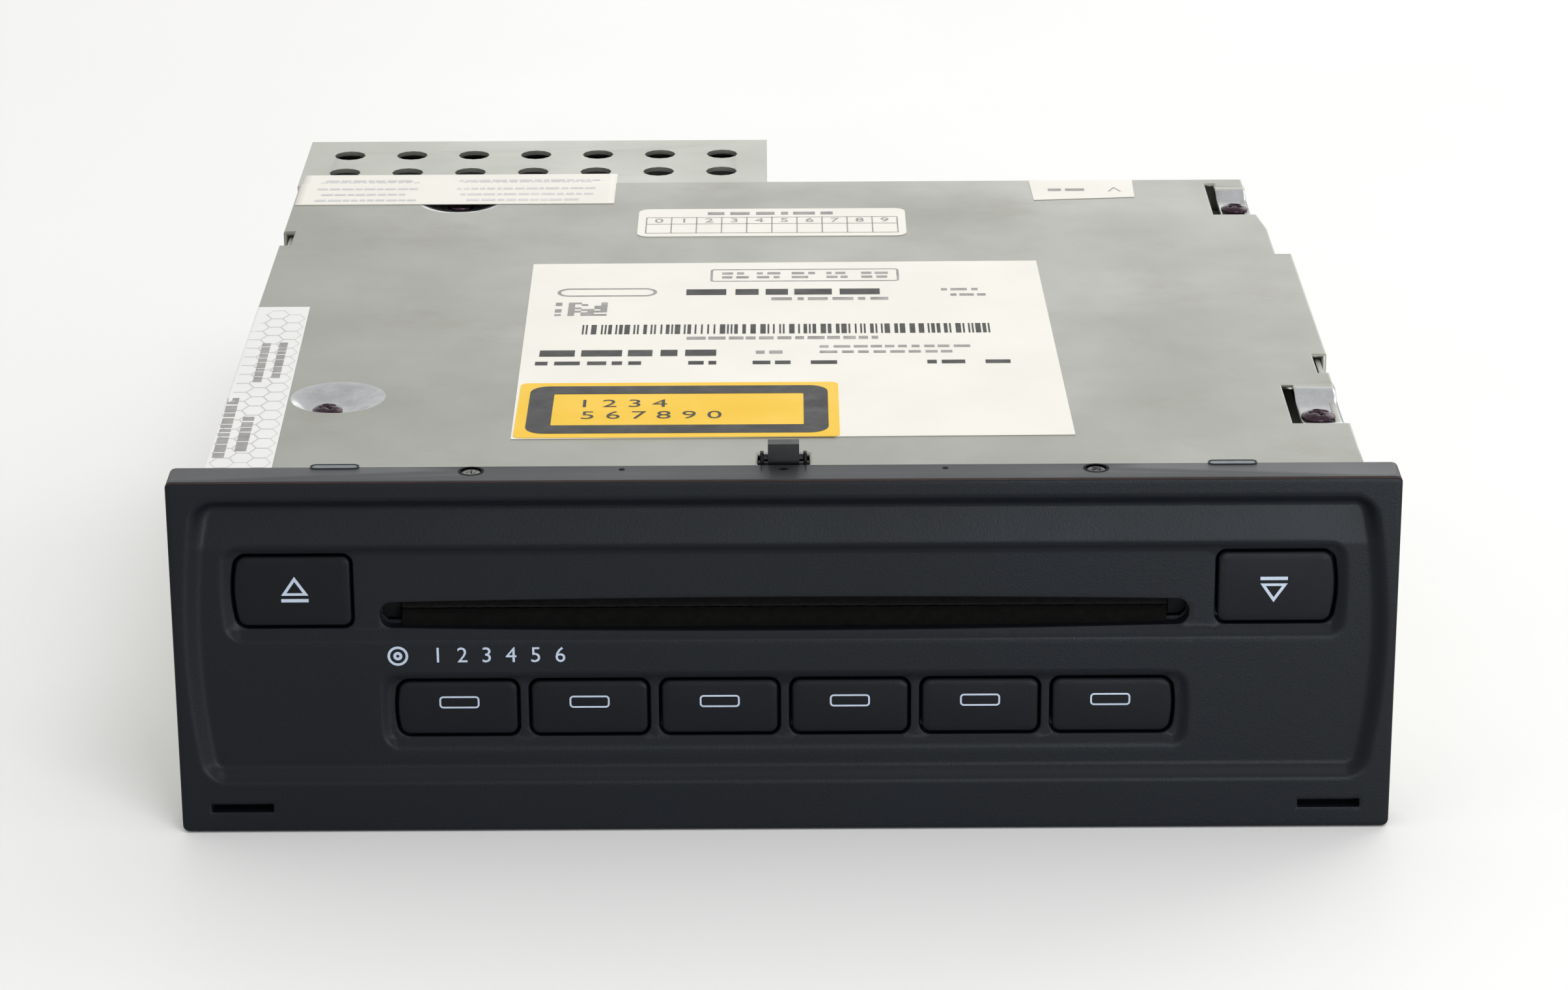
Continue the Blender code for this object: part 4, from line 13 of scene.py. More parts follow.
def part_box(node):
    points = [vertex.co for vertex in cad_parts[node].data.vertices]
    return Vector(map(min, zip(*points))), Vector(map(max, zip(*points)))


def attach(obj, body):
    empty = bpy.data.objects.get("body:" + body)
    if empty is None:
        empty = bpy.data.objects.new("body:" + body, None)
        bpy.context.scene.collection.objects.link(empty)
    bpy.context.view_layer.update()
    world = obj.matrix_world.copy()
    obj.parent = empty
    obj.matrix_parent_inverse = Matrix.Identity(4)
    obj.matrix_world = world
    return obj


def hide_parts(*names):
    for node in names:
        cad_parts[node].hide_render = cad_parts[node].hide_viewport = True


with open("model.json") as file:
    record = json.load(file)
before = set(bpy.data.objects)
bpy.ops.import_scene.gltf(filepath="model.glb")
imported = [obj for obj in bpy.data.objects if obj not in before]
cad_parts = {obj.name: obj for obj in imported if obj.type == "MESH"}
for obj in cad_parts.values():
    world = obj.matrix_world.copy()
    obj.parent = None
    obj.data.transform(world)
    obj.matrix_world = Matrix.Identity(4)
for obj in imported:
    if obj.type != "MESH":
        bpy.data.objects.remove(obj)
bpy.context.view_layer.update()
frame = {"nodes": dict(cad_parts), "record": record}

# Lengths are in metres. Places on the face are (across, height), places on top are (across, distance behind
# the face), and depths are measured back from the face
FACE_LOW, FACE_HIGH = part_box("bezel")
HOOD_LOW, HOOD_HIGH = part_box("vent_hood")
FACE_Y = FACE_LOW.y
STRIP_TOP = 0.0580
COVER_TOP = 0.0576
HOOD_TOP = 0.0570

# Camera, fitted to the corners of the face and the cover
LENS = 106.10
CAMERA_PLACE = (0.000505, -0.75343, 0.29916)
CAMERA_PITCH = -0.3546
CAMERA_YAW = 0.0007
CAMERA_ROLL = 0.0054

# Studio
AMBIENT_COLOR = (0.975, 0.968, 0.955, 1.0)
AMBIENT_STRENGTH = 0.78
BACKGROUND_COLOR = (1.0, 1.0, 1.0, 1.0)
BACKGROUND_STRENGTH = 1.0
FLOOR_HALF = 4.0
FLOOR_SINK = 0.0002
# The front and side lamps are low strips: they light the face and stay below the level of the cover
LAMPS = (
    # name, place, target, width and height, power, colour
    ("key", (1.05, 1.15, 1.00), (0.0, 0.0, 0.03), (1.0, 1.0), 6.4, (1.0, 0.985, 0.96)),
    ("back", (0.22, 2.00, 0.25), (0.0, 0.05, 0.05), (0.9, 0.9), 2.6, (0.98, 0.99, 1.0)),
    ("front", (0.30, -0.80, 0.030), (0.06, -0.09, 0.030), (0.50, 0.05), 4.2, (0.88, 0.94, 1.0)),
    ("side", (0.80, -0.35, 0.030), (-0.03, -0.09, 0.030), (0.30, 0.05), 2.0, (0.94, 0.97, 1.0)),
    ("top", (0.35, -0.80, 1.15), (0.0, -0.08, 0.03), (0.5, 0.5), 4.8, (0.98, 0.99, 1.0)),
)

# Materials
SPECULAR = "Specular IOR Level"
METAL = {"Metallic": 1.0}
MATERIALS = (
    # name, colour, its spread, patch, grain, height of the grain, roughness, its spread, other inputs
    ("face_plastic", (0.0042, 0.0052, 0.0074), 0.16, 0.030, 3.4e-4, 3.4e-5, 0.42, 0.03, {SPECULAR: 0.125}),
    ("button_plastic", (0.0038, 0.0044, 0.0058), 0.14, 0.020, 2.6e-4, 1.8e-5, 0.42, 0.03, {SPECULAR: 0.095}),
    ("strip_plastic", (0.017, 0.020, 0.023), 0.10, 0.030, 3e-4, 1e-5, 0.46, 0.04, {SPECULAR: 0.34}),
    ("edge_wear", (0.034, 0.017, 0.013), 0.30, 0.004, 3e-4, 1e-5, 0.50, 0.08, {SPECULAR: 0.15}),
    # Also the flat dark marks on the strip: painted shade of its pin holes and screw recesses
    ("guide_black_and_hole_shade", (0.0036, 0.0036, 0.0040), 0.20, 0.003, 3e-4, 1e-5, 0.60, 0.08, {SPECULAR: 0.06}),
    ("catch_black", (0.0050, 0.0050, 0.0055), 0.20, 0.004, 3e-4, 1e-5, 0.42, 0.08, {SPECULAR: 0.30}),
    ("black_plastic", (0.010, 0.010, 0.011), 0.12, 0.010, 4e-4, 1e-5, 0.40, 0.08, {}),
    ("pickup_black", (0.028, 0.028, 0.030), 0.12, 0.006, 4e-4, 1e-5, 0.45, 0.08, {}),
    ("white_plastic", (0.66, 0.66, 0.62), 0.05, 0.020, 5e-4, 1e-5, 0.42, 0.08, {}),
    ("rubber", (0.020, 0.020, 0.021), 0.12, 0.008, 4e-4, 2e-5, 0.72, 0.08, {}),
    ("board_green", (0.020, 0.110, 0.050), 0.20, 0.006, 8e-4, 1e-5, 0.35, 0.08, {"Coat Weight": 0.3}),
    ("felt", (0.0085, 0.0085, 0.0090), 0.30, 0.004, 3.5e-4, 1.2e-4, 0.95, 0.03, {}),
    ("pile", (0.0030, 0.0028, 0.0025), 0.30, 0.0015, 1.2e-4, 4e-5, 0.90, 0.04,
     {SPECULAR: 0.03, "Sheen Weight": 0.03, "Sheen Roughness": 0.5}),
    ("zinc_sheet", (0.327, 0.332, 0.296), 0.07, 0.035, 7e-4, 6e-6, 0.40, 0.07, {"Metallic": 0.80}),
    # Smoother pressed zinc of the dishes and tongues; its lighter colour is partly a painted highlight
    ("pressed_zinc_painted_highlight", (0.430, 0.440, 0.445), 0.18, 0.003, 4e-4, 3e-6, 0.24, 0.06, {"Metallic": 0.90}),
    ("insert_metal", (0.150, 0.180, 0.200), 0.10, 0.003, 3e-4, 4e-6, 0.36, 0.08, {"Metallic": 0.6}),
    ("blackened_steel", (0.085, 0.085, 0.090), 0.15, 0.001, 2e-4, 4e-6, 0.34, 0.08, METAL),
    ("dull_steel", (0.170, 0.170, 0.165), 0.15, 0.001, 2e-4, 4e-6, 0.32, 0.08, METAL),
    ("violet_steel", (0.055, 0.036, 0.046), 0.35, 0.001, 2e-4, 3e-6, 0.17, 0.04, METAL),
    ("steel", (0.55, 0.55, 0.56), 0.08, 0.008, 3e-4, 4e-6, 0.28, 0.08, METAL),
    ("motor_can", (0.48, 0.48, 0.48), 0.08, 0.006, 4e-4, 4e-6, 0.30, 0.08, METAL),
    ("brass", (0.62, 0.46, 0.22), 0.10, 0.004, 3e-4, 4e-6, 0.27, 0.08, METAL),
    ("paper", (0.86, 0.84, 0.77), 0.03, 0.025, 2e-4, 4e-6, 0.50, 0.08, {}),
    ("seal_film", (0.80, 0.80, 0.79), 0.03, 0.010, 3e-4, 3e-6, 0.33, 0.08, {}),
    ("seal_line", (0.56, 0.55, 0.54), 0.05, 0.003, 2e-4, 2e-6, 0.45, 0.08, {}),
    ("yellow_print", (0.92, 0.58, 0.040), 0.04, 0.015, 2e-4, 3e-6, 0.50, 0.08, {SPECULAR: 0.2}),
    ("grey_ink", (0.052, 0.054, 0.052), 0.15, 0.004, 1.5e-4, 2e-6, 0.55, 0.08, {SPECULAR: 0.2}),
    ("faded_ink", (0.33, 0.32, 0.31), 0.25, 0.003, 1.5e-4, 2e-6, 0.50, 0.08, {}),
    ("pale_ink", (0.60, 0.60, 0.62), 0.06, 0.006, 2e-4, 2e-6, 0.38, 0.08, {}),
    ("face_print", (0.30, 0.345, 0.42), 0.08, 0.002, 1.2e-4, 3e-6, 0.50, 0.08, {}),
    ("floor_paint", (0.93, 0.93, 0.925), 0.01, 0.300, 2e-3, 1e-5, 0.50, 0.08, {SPECULAR: 0.2}),
)
SPECIAL = {
    "black_plastic": {"worn": 0.3},
    "zinc_sheet": {"worn": 0.3, "tint": (0.310, 0.314, 0.275), "smudge": (0.21, 0.185, 0.135)},
    "steel": {"stretch": (1.0, 0.06, 1.0)},
    "motor_can": {"stretch": (1.0, 1.0, 0.06)},
}
# The record's slot of each material that isn't one itself
SLOTS = {
    "pile": "felt", "guide_black_and_hole_shade": "black_plastic",
    **dict.fromkeys(("insert_metal", "violet_steel", "dull_steel", "blackened_steel"), "steel"),
    **dict.fromkeys(("paper", "seal_film", "seal_line", "yellow_print", "face_print"), "white_plastic"),
    **dict.fromkeys(("grey_ink", "faded_ink", "pale_ink"), "white_plastic"),
}
# Solids whose material isn't that of their slot
FINISHES = {"slot_guide_left": "guide_black_and_hole_shade", "slot_guide_right": "guide_black_and_hole_shade", "catch": "catch_black"}
EVEN = (1.0, 1.0, 1.0)
# Noises: detail and roughness
PATCH_NOISE = (4.0, 0.6)
GRAIN_NOISE = (3.0, 0.6)
SMUDGE_NOISE = (5.0, 0.65)
NOISE_RANGE = (0.3, 0.7)
GRAIN_SHARE = 0.25
SMUDGE_SIZE = 0.021
SMUDGE_SHARE = 0.28
SMUDGE_RANGE = (0.56, 0.74)
SMUDGE_STRETCH = (0.7, 1.0, 1.0)
EDGE_RANGE = (0.52, 0.60)
WORN_GAIN = 2.2
WORN_RISE = 0.01


def add_node(tree, kind, settings=None, inputs=None):
    """Add a shader node, set its properties and its unlinked inputs, and return it."""
    node = tree.nodes.new(kind)
    for name, value in (settings or {}).items():
        setattr(node, name, value)
    for name, value in (inputs or {}).items():
        node.inputs[name].default_value = value
    return node


def object_noise(tree, size, detail, roughness, stretch=EVEN):
    """Noise in the piece's own coordinates with features of a size; returns its value socket."""
    place = add_node(tree, "ShaderNodeTexCoord")
    mapping = add_node(tree, "ShaderNodeMapping", inputs={"Scale": stretch})
    noise = add_node(tree, "ShaderNodeTexNoise",
                     inputs={"Scale": 1.0 / size, "Detail": detail, "Roughness": roughness})
    tree.links.new(place.outputs["Object"], mapping.inputs["Vector"])
    tree.links.new(mapping.outputs["Vector"], noise.inputs["Vector"])
    return noise.outputs["Fac"]


def ranged(tree, value, low, high, span=NOISE_RANGE):
    """Spread a value that lies in a span over low to high."""
    node = add_node(tree, "ShaderNodeMapRange",
                    inputs={"From Min": span[0], "From Max": span[1], "To Min": low, "To Max": high})
    tree.links.new(value, node.inputs["Value"])
    return node.outputs["Result"]


def mixed_color(tree, share, first, second):
    """Mix two colours by a share socket; each colour is a tuple or a socket."""
    node = add_node(tree, "ShaderNodeMix", {"data_type": "RGBA"})
    tree.links.new(share, node.inputs["Factor"])
    for socket, color in (("A", first), ("B", second)):
        target = [item for item in node.inputs if item.name == socket and item.type == "RGBA"][0]
        if isinstance(color, tuple):
            target.default_value = (*color, 1.0)
        else:
            tree.links.new(color, target)
    return [item for item in node.outputs if item.type == "RGBA"][0]


def scaled(color, factor):
    return tuple(channel * factor for channel in color)


def surface(name, color, spread, patch, grain, grain_height, roughness, roughness_spread, constants,
            stretch=EVEN, tint=None, worn=0.0, smudge=None):
    """A material with colour patches, a fine grain in its colour and bump, smudges and lighter worn edges."""
    material = bpy.data.materials.new(name)
    material.use_nodes = True
    tree = material.node_tree
    shader = tree.nodes["Principled BSDF"]
    for socket, value in constants.items():
        shader.inputs[socket].default_value = value
    patches = object_noise(tree, patch, *PATCH_NOISE)
    fine = object_noise(tree, grain, *GRAIN_NOISE, stretch)
    other = tint or scaled(color, 1.0 - spread)
    base = mixed_color(tree, ranged(tree, patches, 0.0, 1.0), scaled(color, 1.0 + spread / 2), other)
    base = mixed_color(tree, ranged(tree, fine, 0.0, GRAIN_SHARE), base, scaled(color, 1.0 - 2 * spread))
    if smudge:
        stains = object_noise(tree, SMUDGE_SIZE, *SMUDGE_NOISE, SMUDGE_STRETCH)
        base = mixed_color(tree, ranged(tree, stains, 0.0, SMUDGE_SHARE, SMUDGE_RANGE), base, smudge)
    if worn:
        shape = add_node(tree, "ShaderNodeNewGeometry")
        edge = ranged(tree, shape.outputs["Pointiness"], 0.0, worn, EDGE_RANGE)
        bare = tuple(min(1.0, channel * WORN_GAIN + WORN_RISE) for channel in color)
        base = mixed_color(tree, edge, base, bare)
    tree.links.new(base, shader.inputs["Base Color"])
    rough = ranged(tree, patches, roughness - roughness_spread, roughness + roughness_spread)
    tree.links.new(rough, shader.inputs["Roughness"])
    bump = add_node(tree, "ShaderNodeBump", inputs={"Distance": grain_height})
    tree.links.new(fine, bump.inputs["Height"])
    tree.links.new(bump.outputs["Normal"], shader.inputs["Normal"])
    return material


materials = {row[0]: surface(*row, **SPECIAL.get(row[0], {})) for row in MATERIALS}


def link(name, data):
    """Add an object to the scene."""
    obj = bpy.data.objects.new(name, data)
    bpy.context.scene.collection.objects.link(obj)
    return obj


def add_piece(name, bm, finish, body="unit", smooth=False):
    """Turn a bmesh into a piece of the scene that rides on a body."""
    mesh = bpy.data.meshes.new(name)
    bm.to_mesh(mesh)
    bm.free()
    obj = link(name, mesh)
    mesh.materials.append(materials[finish])
    for face in mesh.polygons:
        face.use_smooth = smooth
    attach(obj, body)
    SLOTS.get(finish, finish)
    return obj


def smooth_piece(obj):
    """Smooth shading that keeps large faces flat."""
    for face in obj.data.polygons:
        face.use_smooth = True
    obj.modifiers.new("weighted normals", "WEIGHTED_NORMAL")


# Flat shapes: every function adds to a bmesh in its own plane, as (u, v). A box is left, bottom, right, top

CORNER_STEPS = 6
ROUND_STEPS = 32
WORD_SHARES = (0.7, 2.4)
WORD_GAP_SHARES = (0.8, 1.4)
STRIPE = 0.00030
STRIPE_WIDTHS = (1.0, 1.0, 2.0, 3.0)
STRIPE_GAPS = (1.0, 1.0, 2.0, 2.5)
DIGIT_SIZE = 1.43
DIGIT_RESOLUTION = 3
DENSE_SHARE = 0.3
LOOSE_SHARE = 0.4
OPEN_SHARE = 0.5


def spaced(start, end, count):
    """Evenly spaced values from start to end, in a number of steps."""
    return [start + (end - start) * step / count for step in range(count + 1)]


def inset(box, margin):
    left, bottom, right, top = box
    return left + margin, bottom + margin, right - margin, top - margin


def rounded_box(box, radius):
    """Corners of a rectangle with round corners, anticlockwise."""
    left, bottom, right, top = inset(box, radius)
    points = []
    for u, v, start in ((right, bottom, -90), (right, top, 0), (left, top, 90), (left, bottom, 180)):
        for turn in spaced(start, start + 90, CORNER_STEPS):
            angle = math.radians(turn)
            points.append((u + radius * math.cos(angle), v + radius * math.sin(angle)))
    return points


def circle(u, v, radius, steps=ROUND_STEPS):
    turns = [math.tau * step / steps for step in range(steps)]
    return [(u + radius * math.cos(angle), v + radius * math.sin(angle)) for angle in turns]


def add_bands(bm, rings, closed=True):
    """Quads between successive rings of vertices."""
    for before, after in zip(rings, rings[1:]):
        for index in range(len(before) if closed else len(before) - 1):
            follow = (index + 1) % len(before)
            bm.faces.new([before[index], after[index], after[follow], before[follow]])


def add_sheet(bm, upper, lower, ends=(0, -1)):
    """Two grids of vertices, joined along their sides and at the given ends."""
    for rows in (upper, lower):
        add_bands(bm, rows, closed=False)
    for index in ends:
        add_bands(bm, [upper[index], lower[index]], closed=False)
    for index in (0, -1):
        add_bands(bm, [[row[index] for row in upper], [row[index] for row in lower]], closed=False)


def flat_verts(bm, points):
    return [bm.verts.new((u, v, 0.0)) for u, v in points]


def add_shape(bm, points):
    bm.faces.new(flat_verts(bm, points))


def add_box(bm, left, bottom, right, top):
    add_shape(bm, [(left, bottom), (right, bottom), (right, top), (left, top)])


def add_ring(bm, outer, inner):
    """Fill the space between two outlines that have the same number of points."""
    add_bands(bm, [flat_verts(bm, inner), flat_verts(bm, outer)])


def add_frame(bm, box, corner, stroke, inner_corner=None):
    """The outline of a rectangle with round corners, as a ring."""
    inside_corner = corner - stroke if inner_corner is None else inner_corner
    add_ring(bm, rounded_box(box, corner), rounded_box(inset(box, stroke), inside_corner))


def add_line(bm, start, end, width):
    """A straight stroke between two points."""
    start, end = Vector(start), Vector(end)
    along = (end - start).normalized()
    side = Vector((-along.y, along.x)) * width / 2
    add_shape(bm, [tuple(corner) for corner in (start - side, end - side, end + side, start + side)])


def add_digits(bm, text, u, v, height):
    """Digits in the plain built-in font, centred on (u, v)."""
    curve = bpy.data.curves.new("digits", "FONT")
    curve.body = text
    curve.size = height * DIGIT_SIZE
    curve.align_x = "CENTER"
    curve.align_y = "CENTER"
    curve.resolution_u = DIGIT_RESOLUTION
    holder = link("digits", curve)
    bpy.context.view_layer.update()
    mesh = bpy.data.meshes.new_from_object(holder)
    mesh.transform(Matrix.Translation((u, v, 0.0)))
    bm.from_mesh(mesh)
    bpy.data.objects.remove(holder)
    bpy.data.curves.remove(curve)
    bpy.data.meshes.remove(mesh)


def add_words(bm, box, generator, gap_share=OPEN_SHARE):
    """A line of plain bars of uneven length, in place of words. gap_share is a share of their height."""
    left, bottom, right, top = box
    height = top - bottom
    u = left
    while u < right - height:
        length = min(right - u, height * generator.uniform(*WORD_SHARES))
        add_box(bm, u, bottom, u + length, top)
        u += length + height * gap_share * generator.uniform(*WORD_GAP_SHARES)


def add_stripes(bm, box, generator):
    """Upright stripes of uneven width, which encode nothing."""
    left, bottom, right, top = box
    u = left
    while u < right:
        width = STRIPE * generator.choice(STRIPE_WIDTHS)
        add_box(bm, u, bottom, min(u + width, right), top)
        u += width + STRIPE * generator.choice(STRIPE_GAPS)


def raised(bm, low, high):
    """Turn flat shapes, laid out as (across, distance), into thin blocks between two heights."""
    extruded = bmesh.ops.extrude_face_region(bm, geom=list(bm.faces))
    rising = [item for item in extruded["geom"] if isinstance(item, bmesh.types.BMVert)]
    bmesh.ops.translate(bm, verts=rising, vec=(0.0, 0.0, high - low))
    bmesh.ops.translate(bm, verts=list(bm.verts), vec=(0.0, FACE_Y, low))
    bmesh.ops.recalc_face_normals(bm, faces=list(bm.faces))


def lay(bm, place):
    """Move every point of flat shapes from (u, v) to the place that a function gives."""
    for vertex in bm.verts:
        vertex.co = place(vertex.co.x, vertex.co.y)


def lay_on_top(bm, level):
    """Lay flat shapes, drawn as (across, distance), at a height."""
    lay(bm, lambda u, v: (u, FACE_Y + v, level))


# Meshes of the solids, of which some pieces keep a part

MERGE_DISTANCE = 0.000002
SKIN = 0.00008


def solid_copy(name):
    """The mesh of a solid in the frame's coordinates."""
    solid = bmesh.new()
    solid.from_mesh(frame["nodes"][name].data)
    solid.transform(frame["nodes"][name].matrix_world)
    bmesh.ops.remove_doubles(solid, verts=list(solid.verts), dist=MERGE_DISTANCE)
    return solid


def cut(bm, place, normal, **clear):
    """Cut a mesh at a plane, and clear one side of it where clear_inner or clear_outer says so."""
    everything = list(bm.verts) + list(bm.edges) + list(bm.faces)
    bmesh.ops.bisect_plane(bm, geom=everything, plane_co=place, plane_no=normal, **clear)


def keep_behind(solid, depth):
    cut(solid, (0.0, FACE_Y + depth, 0.0), (0.0, 1.0, 0.0), clear_inner=True)


def pour(solid, bm):
    """Add what is left of a solid to a bmesh."""
    mesh = bpy.data.meshes.new("rest")
    solid.to_mesh(mesh)
    solid.free()
    bm.from_mesh(mesh)
    bpy.data.meshes.remove(mesh)


# The face: a smooth relief in place of the stepped one of the solid

FACE_EDGE = 0.00045
FACE_CORNER = 0.0010
WALL_BACK = 0.0044
RING_STEPS = 3
LOOP_SPACING = 0.0012
FACE_GRID = 0.0016
RAMP_GRID = 0.00045
GRID_X = (-0.0938, 0.0939)
GRID_Y = (0.0008, 0.0575)
RAMPS_X = ((-0.0938, -0.0835), (0.0835, 0.0938), (-0.0628, -0.0600), (0.0600, 0.0628))
RAMPS_Y = ((0.0070, 0.0112), (0.0130, 0.0150), (0.0246, 0.0262), (0.0308, 0.0334), (0.0450, 0.0476),
           (0.0522, 0.0560))
PANEL_DEPTH = 0.0014
PANEL_TILT = 0.0011
PANEL_TILT_BOTTOM = 0.0468
PANEL_TILT_TOP = 0.0530
PANEL_RAMP = 0.0025
VALLEY_DEPTH = 0.0024
VALLEY_RAMP = 0.0019
ROW_DEPTH = 0.0022
ROW_RAMP = 0.0013
FOOT_SLOT_BACK = 0.0030
HOLE_EDGE = 0.00022
HOLE_MARGIN = 0.00045
STRIP_FROM = 0.0579
WEAR_FROM = 0.0576
UPWARD = 0.9
SLANTING = 0.3
BACKWARD = 0.5


class Outline:
    """A rectangle with round corners, whose ends bulge and whose long sides bow."""

    def __init__(self, left, bottom, right, top, corner, bulge=(0.0, 0.0), bow=0.0):
        self.middle = Vector(((left + right) / 2, (bottom + top) / 2))
        self.half = Vector(((right - left) / 2, (top - bottom) / 2))
        self.corner = corner
        self.bulge = bulge
        self.bow = bow

    def grown(self, margin):
        """A copy that is larger by a margin all round."""
        larger = copy.copy(self)
        larger.half = self.half + Vector((margin, margin))
        larger.corner = self.corner + margin
        return larger

    def shift(self, point):
        """How far the bulge and the bow move a point of the plain rectangle."""
        away = point - self.middle
        across = max(-1.0, min(1.0, away.x / self.half.x))
        up = max(-1.0, min(1.0, away.y / self.half.y))
        sideways = -self.bulge[0] if away.x < 0 else self.bulge[1]
        rise = -self.bow if away.y < 0 else self.bow
        return Vector((sideways * (1 - up * up), rise * (1 - across * across)))

    def distance(self, point):
        """Signed distance from the outline, negative inside."""
        away = point - self.shift(point) - self.middle
        across = abs(away.x) - (self.half.x - self.corner)
        up = abs(away.y) - (self.half.y - self.corner)
        outside = math.hypot(max(across, 0.0), max(up, 0.0))
        return outside + min(max(across, up), 0.0) - self.corner

    def loop(self, offset=0.0):
        """Points of the outline, moved outwards by offset; their number doesn't depend on it."""
        arcs = []
        radius = self.corner + offset
        for x_sign, y_sign, start in ((1, -1, -90), (1, 1, 0), (-1, 1, 90), (-1, -1, 180)):
            centre = self.middle + Vector((x_sign * (self.half.x - self.corner),
                                           y_sign * (self.half.y - self.corner)))
            angles = [math.radians(turn) for turn in spaced(start, start + 90, CORNER_STEPS)]
            arcs.append([centre + Vector((math.cos(angle), math.sin(angle))) * radius for angle in angles])
        points = []
        for index, arc in enumerate(arcs):
            points += arc
            after = arcs[(index + 1) % len(arcs)][0]
            side = 2 * ((self.half.y if index % 2 == 0 else self.half.x) - self.corner)
            count = max(1, round(side / LOOP_SPACING))
            points += [arc[-1].lerp(after, step / count) for step in range(1, count)]
        return [point + self.shift(point) for point in points]


FACE = Outline(FACE_LOW.x, 0.0, FACE_HIGH.x, 0.0580, FACE_CORNER)
PANEL = Outline(-0.0901, 0.0080, 0.0901, 0.0553, 0.0035, bulge=(0.0022, 0.0026))
VALLEY = Outline(-0.0859, 0.0312, 0.0859, 0.0472, 0.0025, bulge=(0.0006, 0.0006))
ROW = Outline(-0.0619, 0.0134, 0.0619, 0.0258, 0.0020, bulge=(0.0006, 0.0006))
SLOT = Outline(-0.0622, 0.0332, 0.0622, 0.0373, 0.0018, bow=0.0006)
FOOT_SLOTS = (Outline(-0.0893, 0.0033, -0.0797, 0.0047, 0.0002),
              Outline(0.0797, 0.0033, 0.0893, 0.0047, 0.0002))

DISC_BUTTONS = 6
BUTTON_PITCH = 0.02015
BUTTON_WIDTH = 0.0185
BUTTON_BOTTOM = 0.0152
BUTTON_TOP = 0.0246
END_BULGE = 0.0006
SMALL_CORNER = 0.0013
LARGE_INNER = 0.0663
LARGE_OUTER = 0.0840
LARGE_BOTTOM = 0.0333
LARGE_TOP = 0.0453
LARGE_BULGE = 0.0008
LARGE_CORNER = 0.0012
CAP_INSET = 0.0003
CAP_COLUMNS = 12
CAP_ROWS = 8
CAP_CLEAR = 0.00063
BUTTON_EDGE = 0.00042
BUTTON_PROUD = 0.0001
BUTTON_CROWN = 0.00016
BUTTON_BACK = 0.0042


def button_outlines():
    """The outline of each cap, a little inside that of its solid."""
    outlines = {}
    bottom, top = BUTTON_BOTTOM + CAP_INSET, BUTTON_TOP - CAP_INSET
    half = BUTTON_WIDTH / 2 - CAP_INSET
    for number in range(1, DISC_BUTTONS + 1):
        middle = (number - (DISC_BUTTONS + 1) / 2) * BUTTON_PITCH
        bulge = (END_BULGE if number == 1 else 0.0, END_BULGE if number == DISC_BUTTONS else 0.0)
        outline = Outline(middle - half, bottom, middle + half, top, SMALL_CORNER, bulge)
        outlines[f"disc_button_{number}"] = outline
    inner, outer = LARGE_INNER + CAP_INSET, LARGE_OUTER - CAP_INSET
    bottom, top = LARGE_BOTTOM + CAP_INSET, LARGE_TOP - CAP_INSET
    outlines["eject_button"] = Outline(-outer, bottom, -inner, top, LARGE_CORNER, (LARGE_BULGE, 0.0))
    outlines["load_button"] = Outline(inner, bottom, outer, top, LARGE_CORNER, (0.0, LARGE_BULGE))
    return outlines


buttons = button_outlines()


def eased(share):
    """0 below 0, 1 above 1, and a smooth ramp between."""
    share = max(0.0, min(1.0, share))
    return share * share * (3 - 2 * share)


def face_depth(point):
    """Depth of the face at (across, height), without its holes."""
    tilt = (point.y - PANEL_TILT_BOTTOM) / (PANEL_TILT_TOP - PANEL_TILT_BOTTOM)
    panel = PANEL_DEPTH + PANEL_TILT * max(0.0, min(1.0, tilt))
    depth = panel * eased(-PANEL.distance(point) / PANEL_RAMP)
    depth += (VALLEY_DEPTH - depth) * eased(-VALLEY.distance(point) / VALLEY_RAMP)
    depth += (ROW_DEPTH - depth) * eased(-ROW.distance(point) / ROW_RAMP)
    return depth


def inside(point, loop):
    """Whether a point lies in a closed loop."""
    odd = False
    before = loop[-1]
    for here in loop:
        if (here.y > point.y) != (before.y > point.y):
            crossing = before.x + (point.y - before.y) / (here.y - before.y) * (here.x - before.x)
            if point.x < crossing:
                odd = not odd
        before = here
    return odd


def fill_loops(bm, loops, points, place, in_hole):
    """Fill the first loop with triangles that keep to all loops and points, except where in_hole says so."""
    flat = [point for loop in loops for point in loop]
    edges = []
    for loop in loops:
        start = len(edges)
        edges += [(start + index, start + (index + 1) % len(loop)) for index in range(len(loop))]
    filled = delaunay_2d_cdt(flat + points, edges, [], 0, MERGE_DISTANCE / 10)
    spots, triangles = filled[0], filled[2]
    verts = [bm.verts.new(place(spot)) for spot in spots]
    for triangle in triangles:
        middle = sum((spots[index] for index in triangle), Vector((0.0, 0.0))) / 3
        if inside(middle, loops[0]) and not in_hole(middle):
            bm.faces.new([verts[index] for index in triangle])


def spread_lines(span, spacing, dense, fine):
    """Positions over a span, spaced finely inside the dense ranges."""
    lines = []
    place, high = span
    while place < high:
        lines.append(place)
        near = any(start <= place <= end for start, end in dense)
        place += fine if near else spacing
    return lines


def grid_points(outer, holes, clear, lines_x, lines_y):
    """Grid points inside an outline, clear of its edge and of the holes."""
    grid = [Vector((x, y)) for x in lines_x for y in lines_y]
    return [point for point in grid
            if outer.distance(point) < -clear and all(hole.distance(point) > clear for hole in holes)]


def add_rim(bm, outline, depth_at, edge, side, back):
    """Roll an edge back by its radius and run its wall to a depth. side is -1 around a face, 1 in a hole."""
    rings = []
    for turn in spaced(0, 90, RING_STEPS):
        angle = math.radians(turn)
        offset = side * edge * (1 - math.sin(angle))
        sink = edge * (1 - math.cos(angle))
        rings.append([(point.x, depth_at(point) + sink, point.y) for point in outline.loop(offset)])
    rings.append([(point.x, back, point.y) for point in outline.loop()])
    add_bands(bm, [[bm.verts.new(place) for place in ring] for ring in rings])


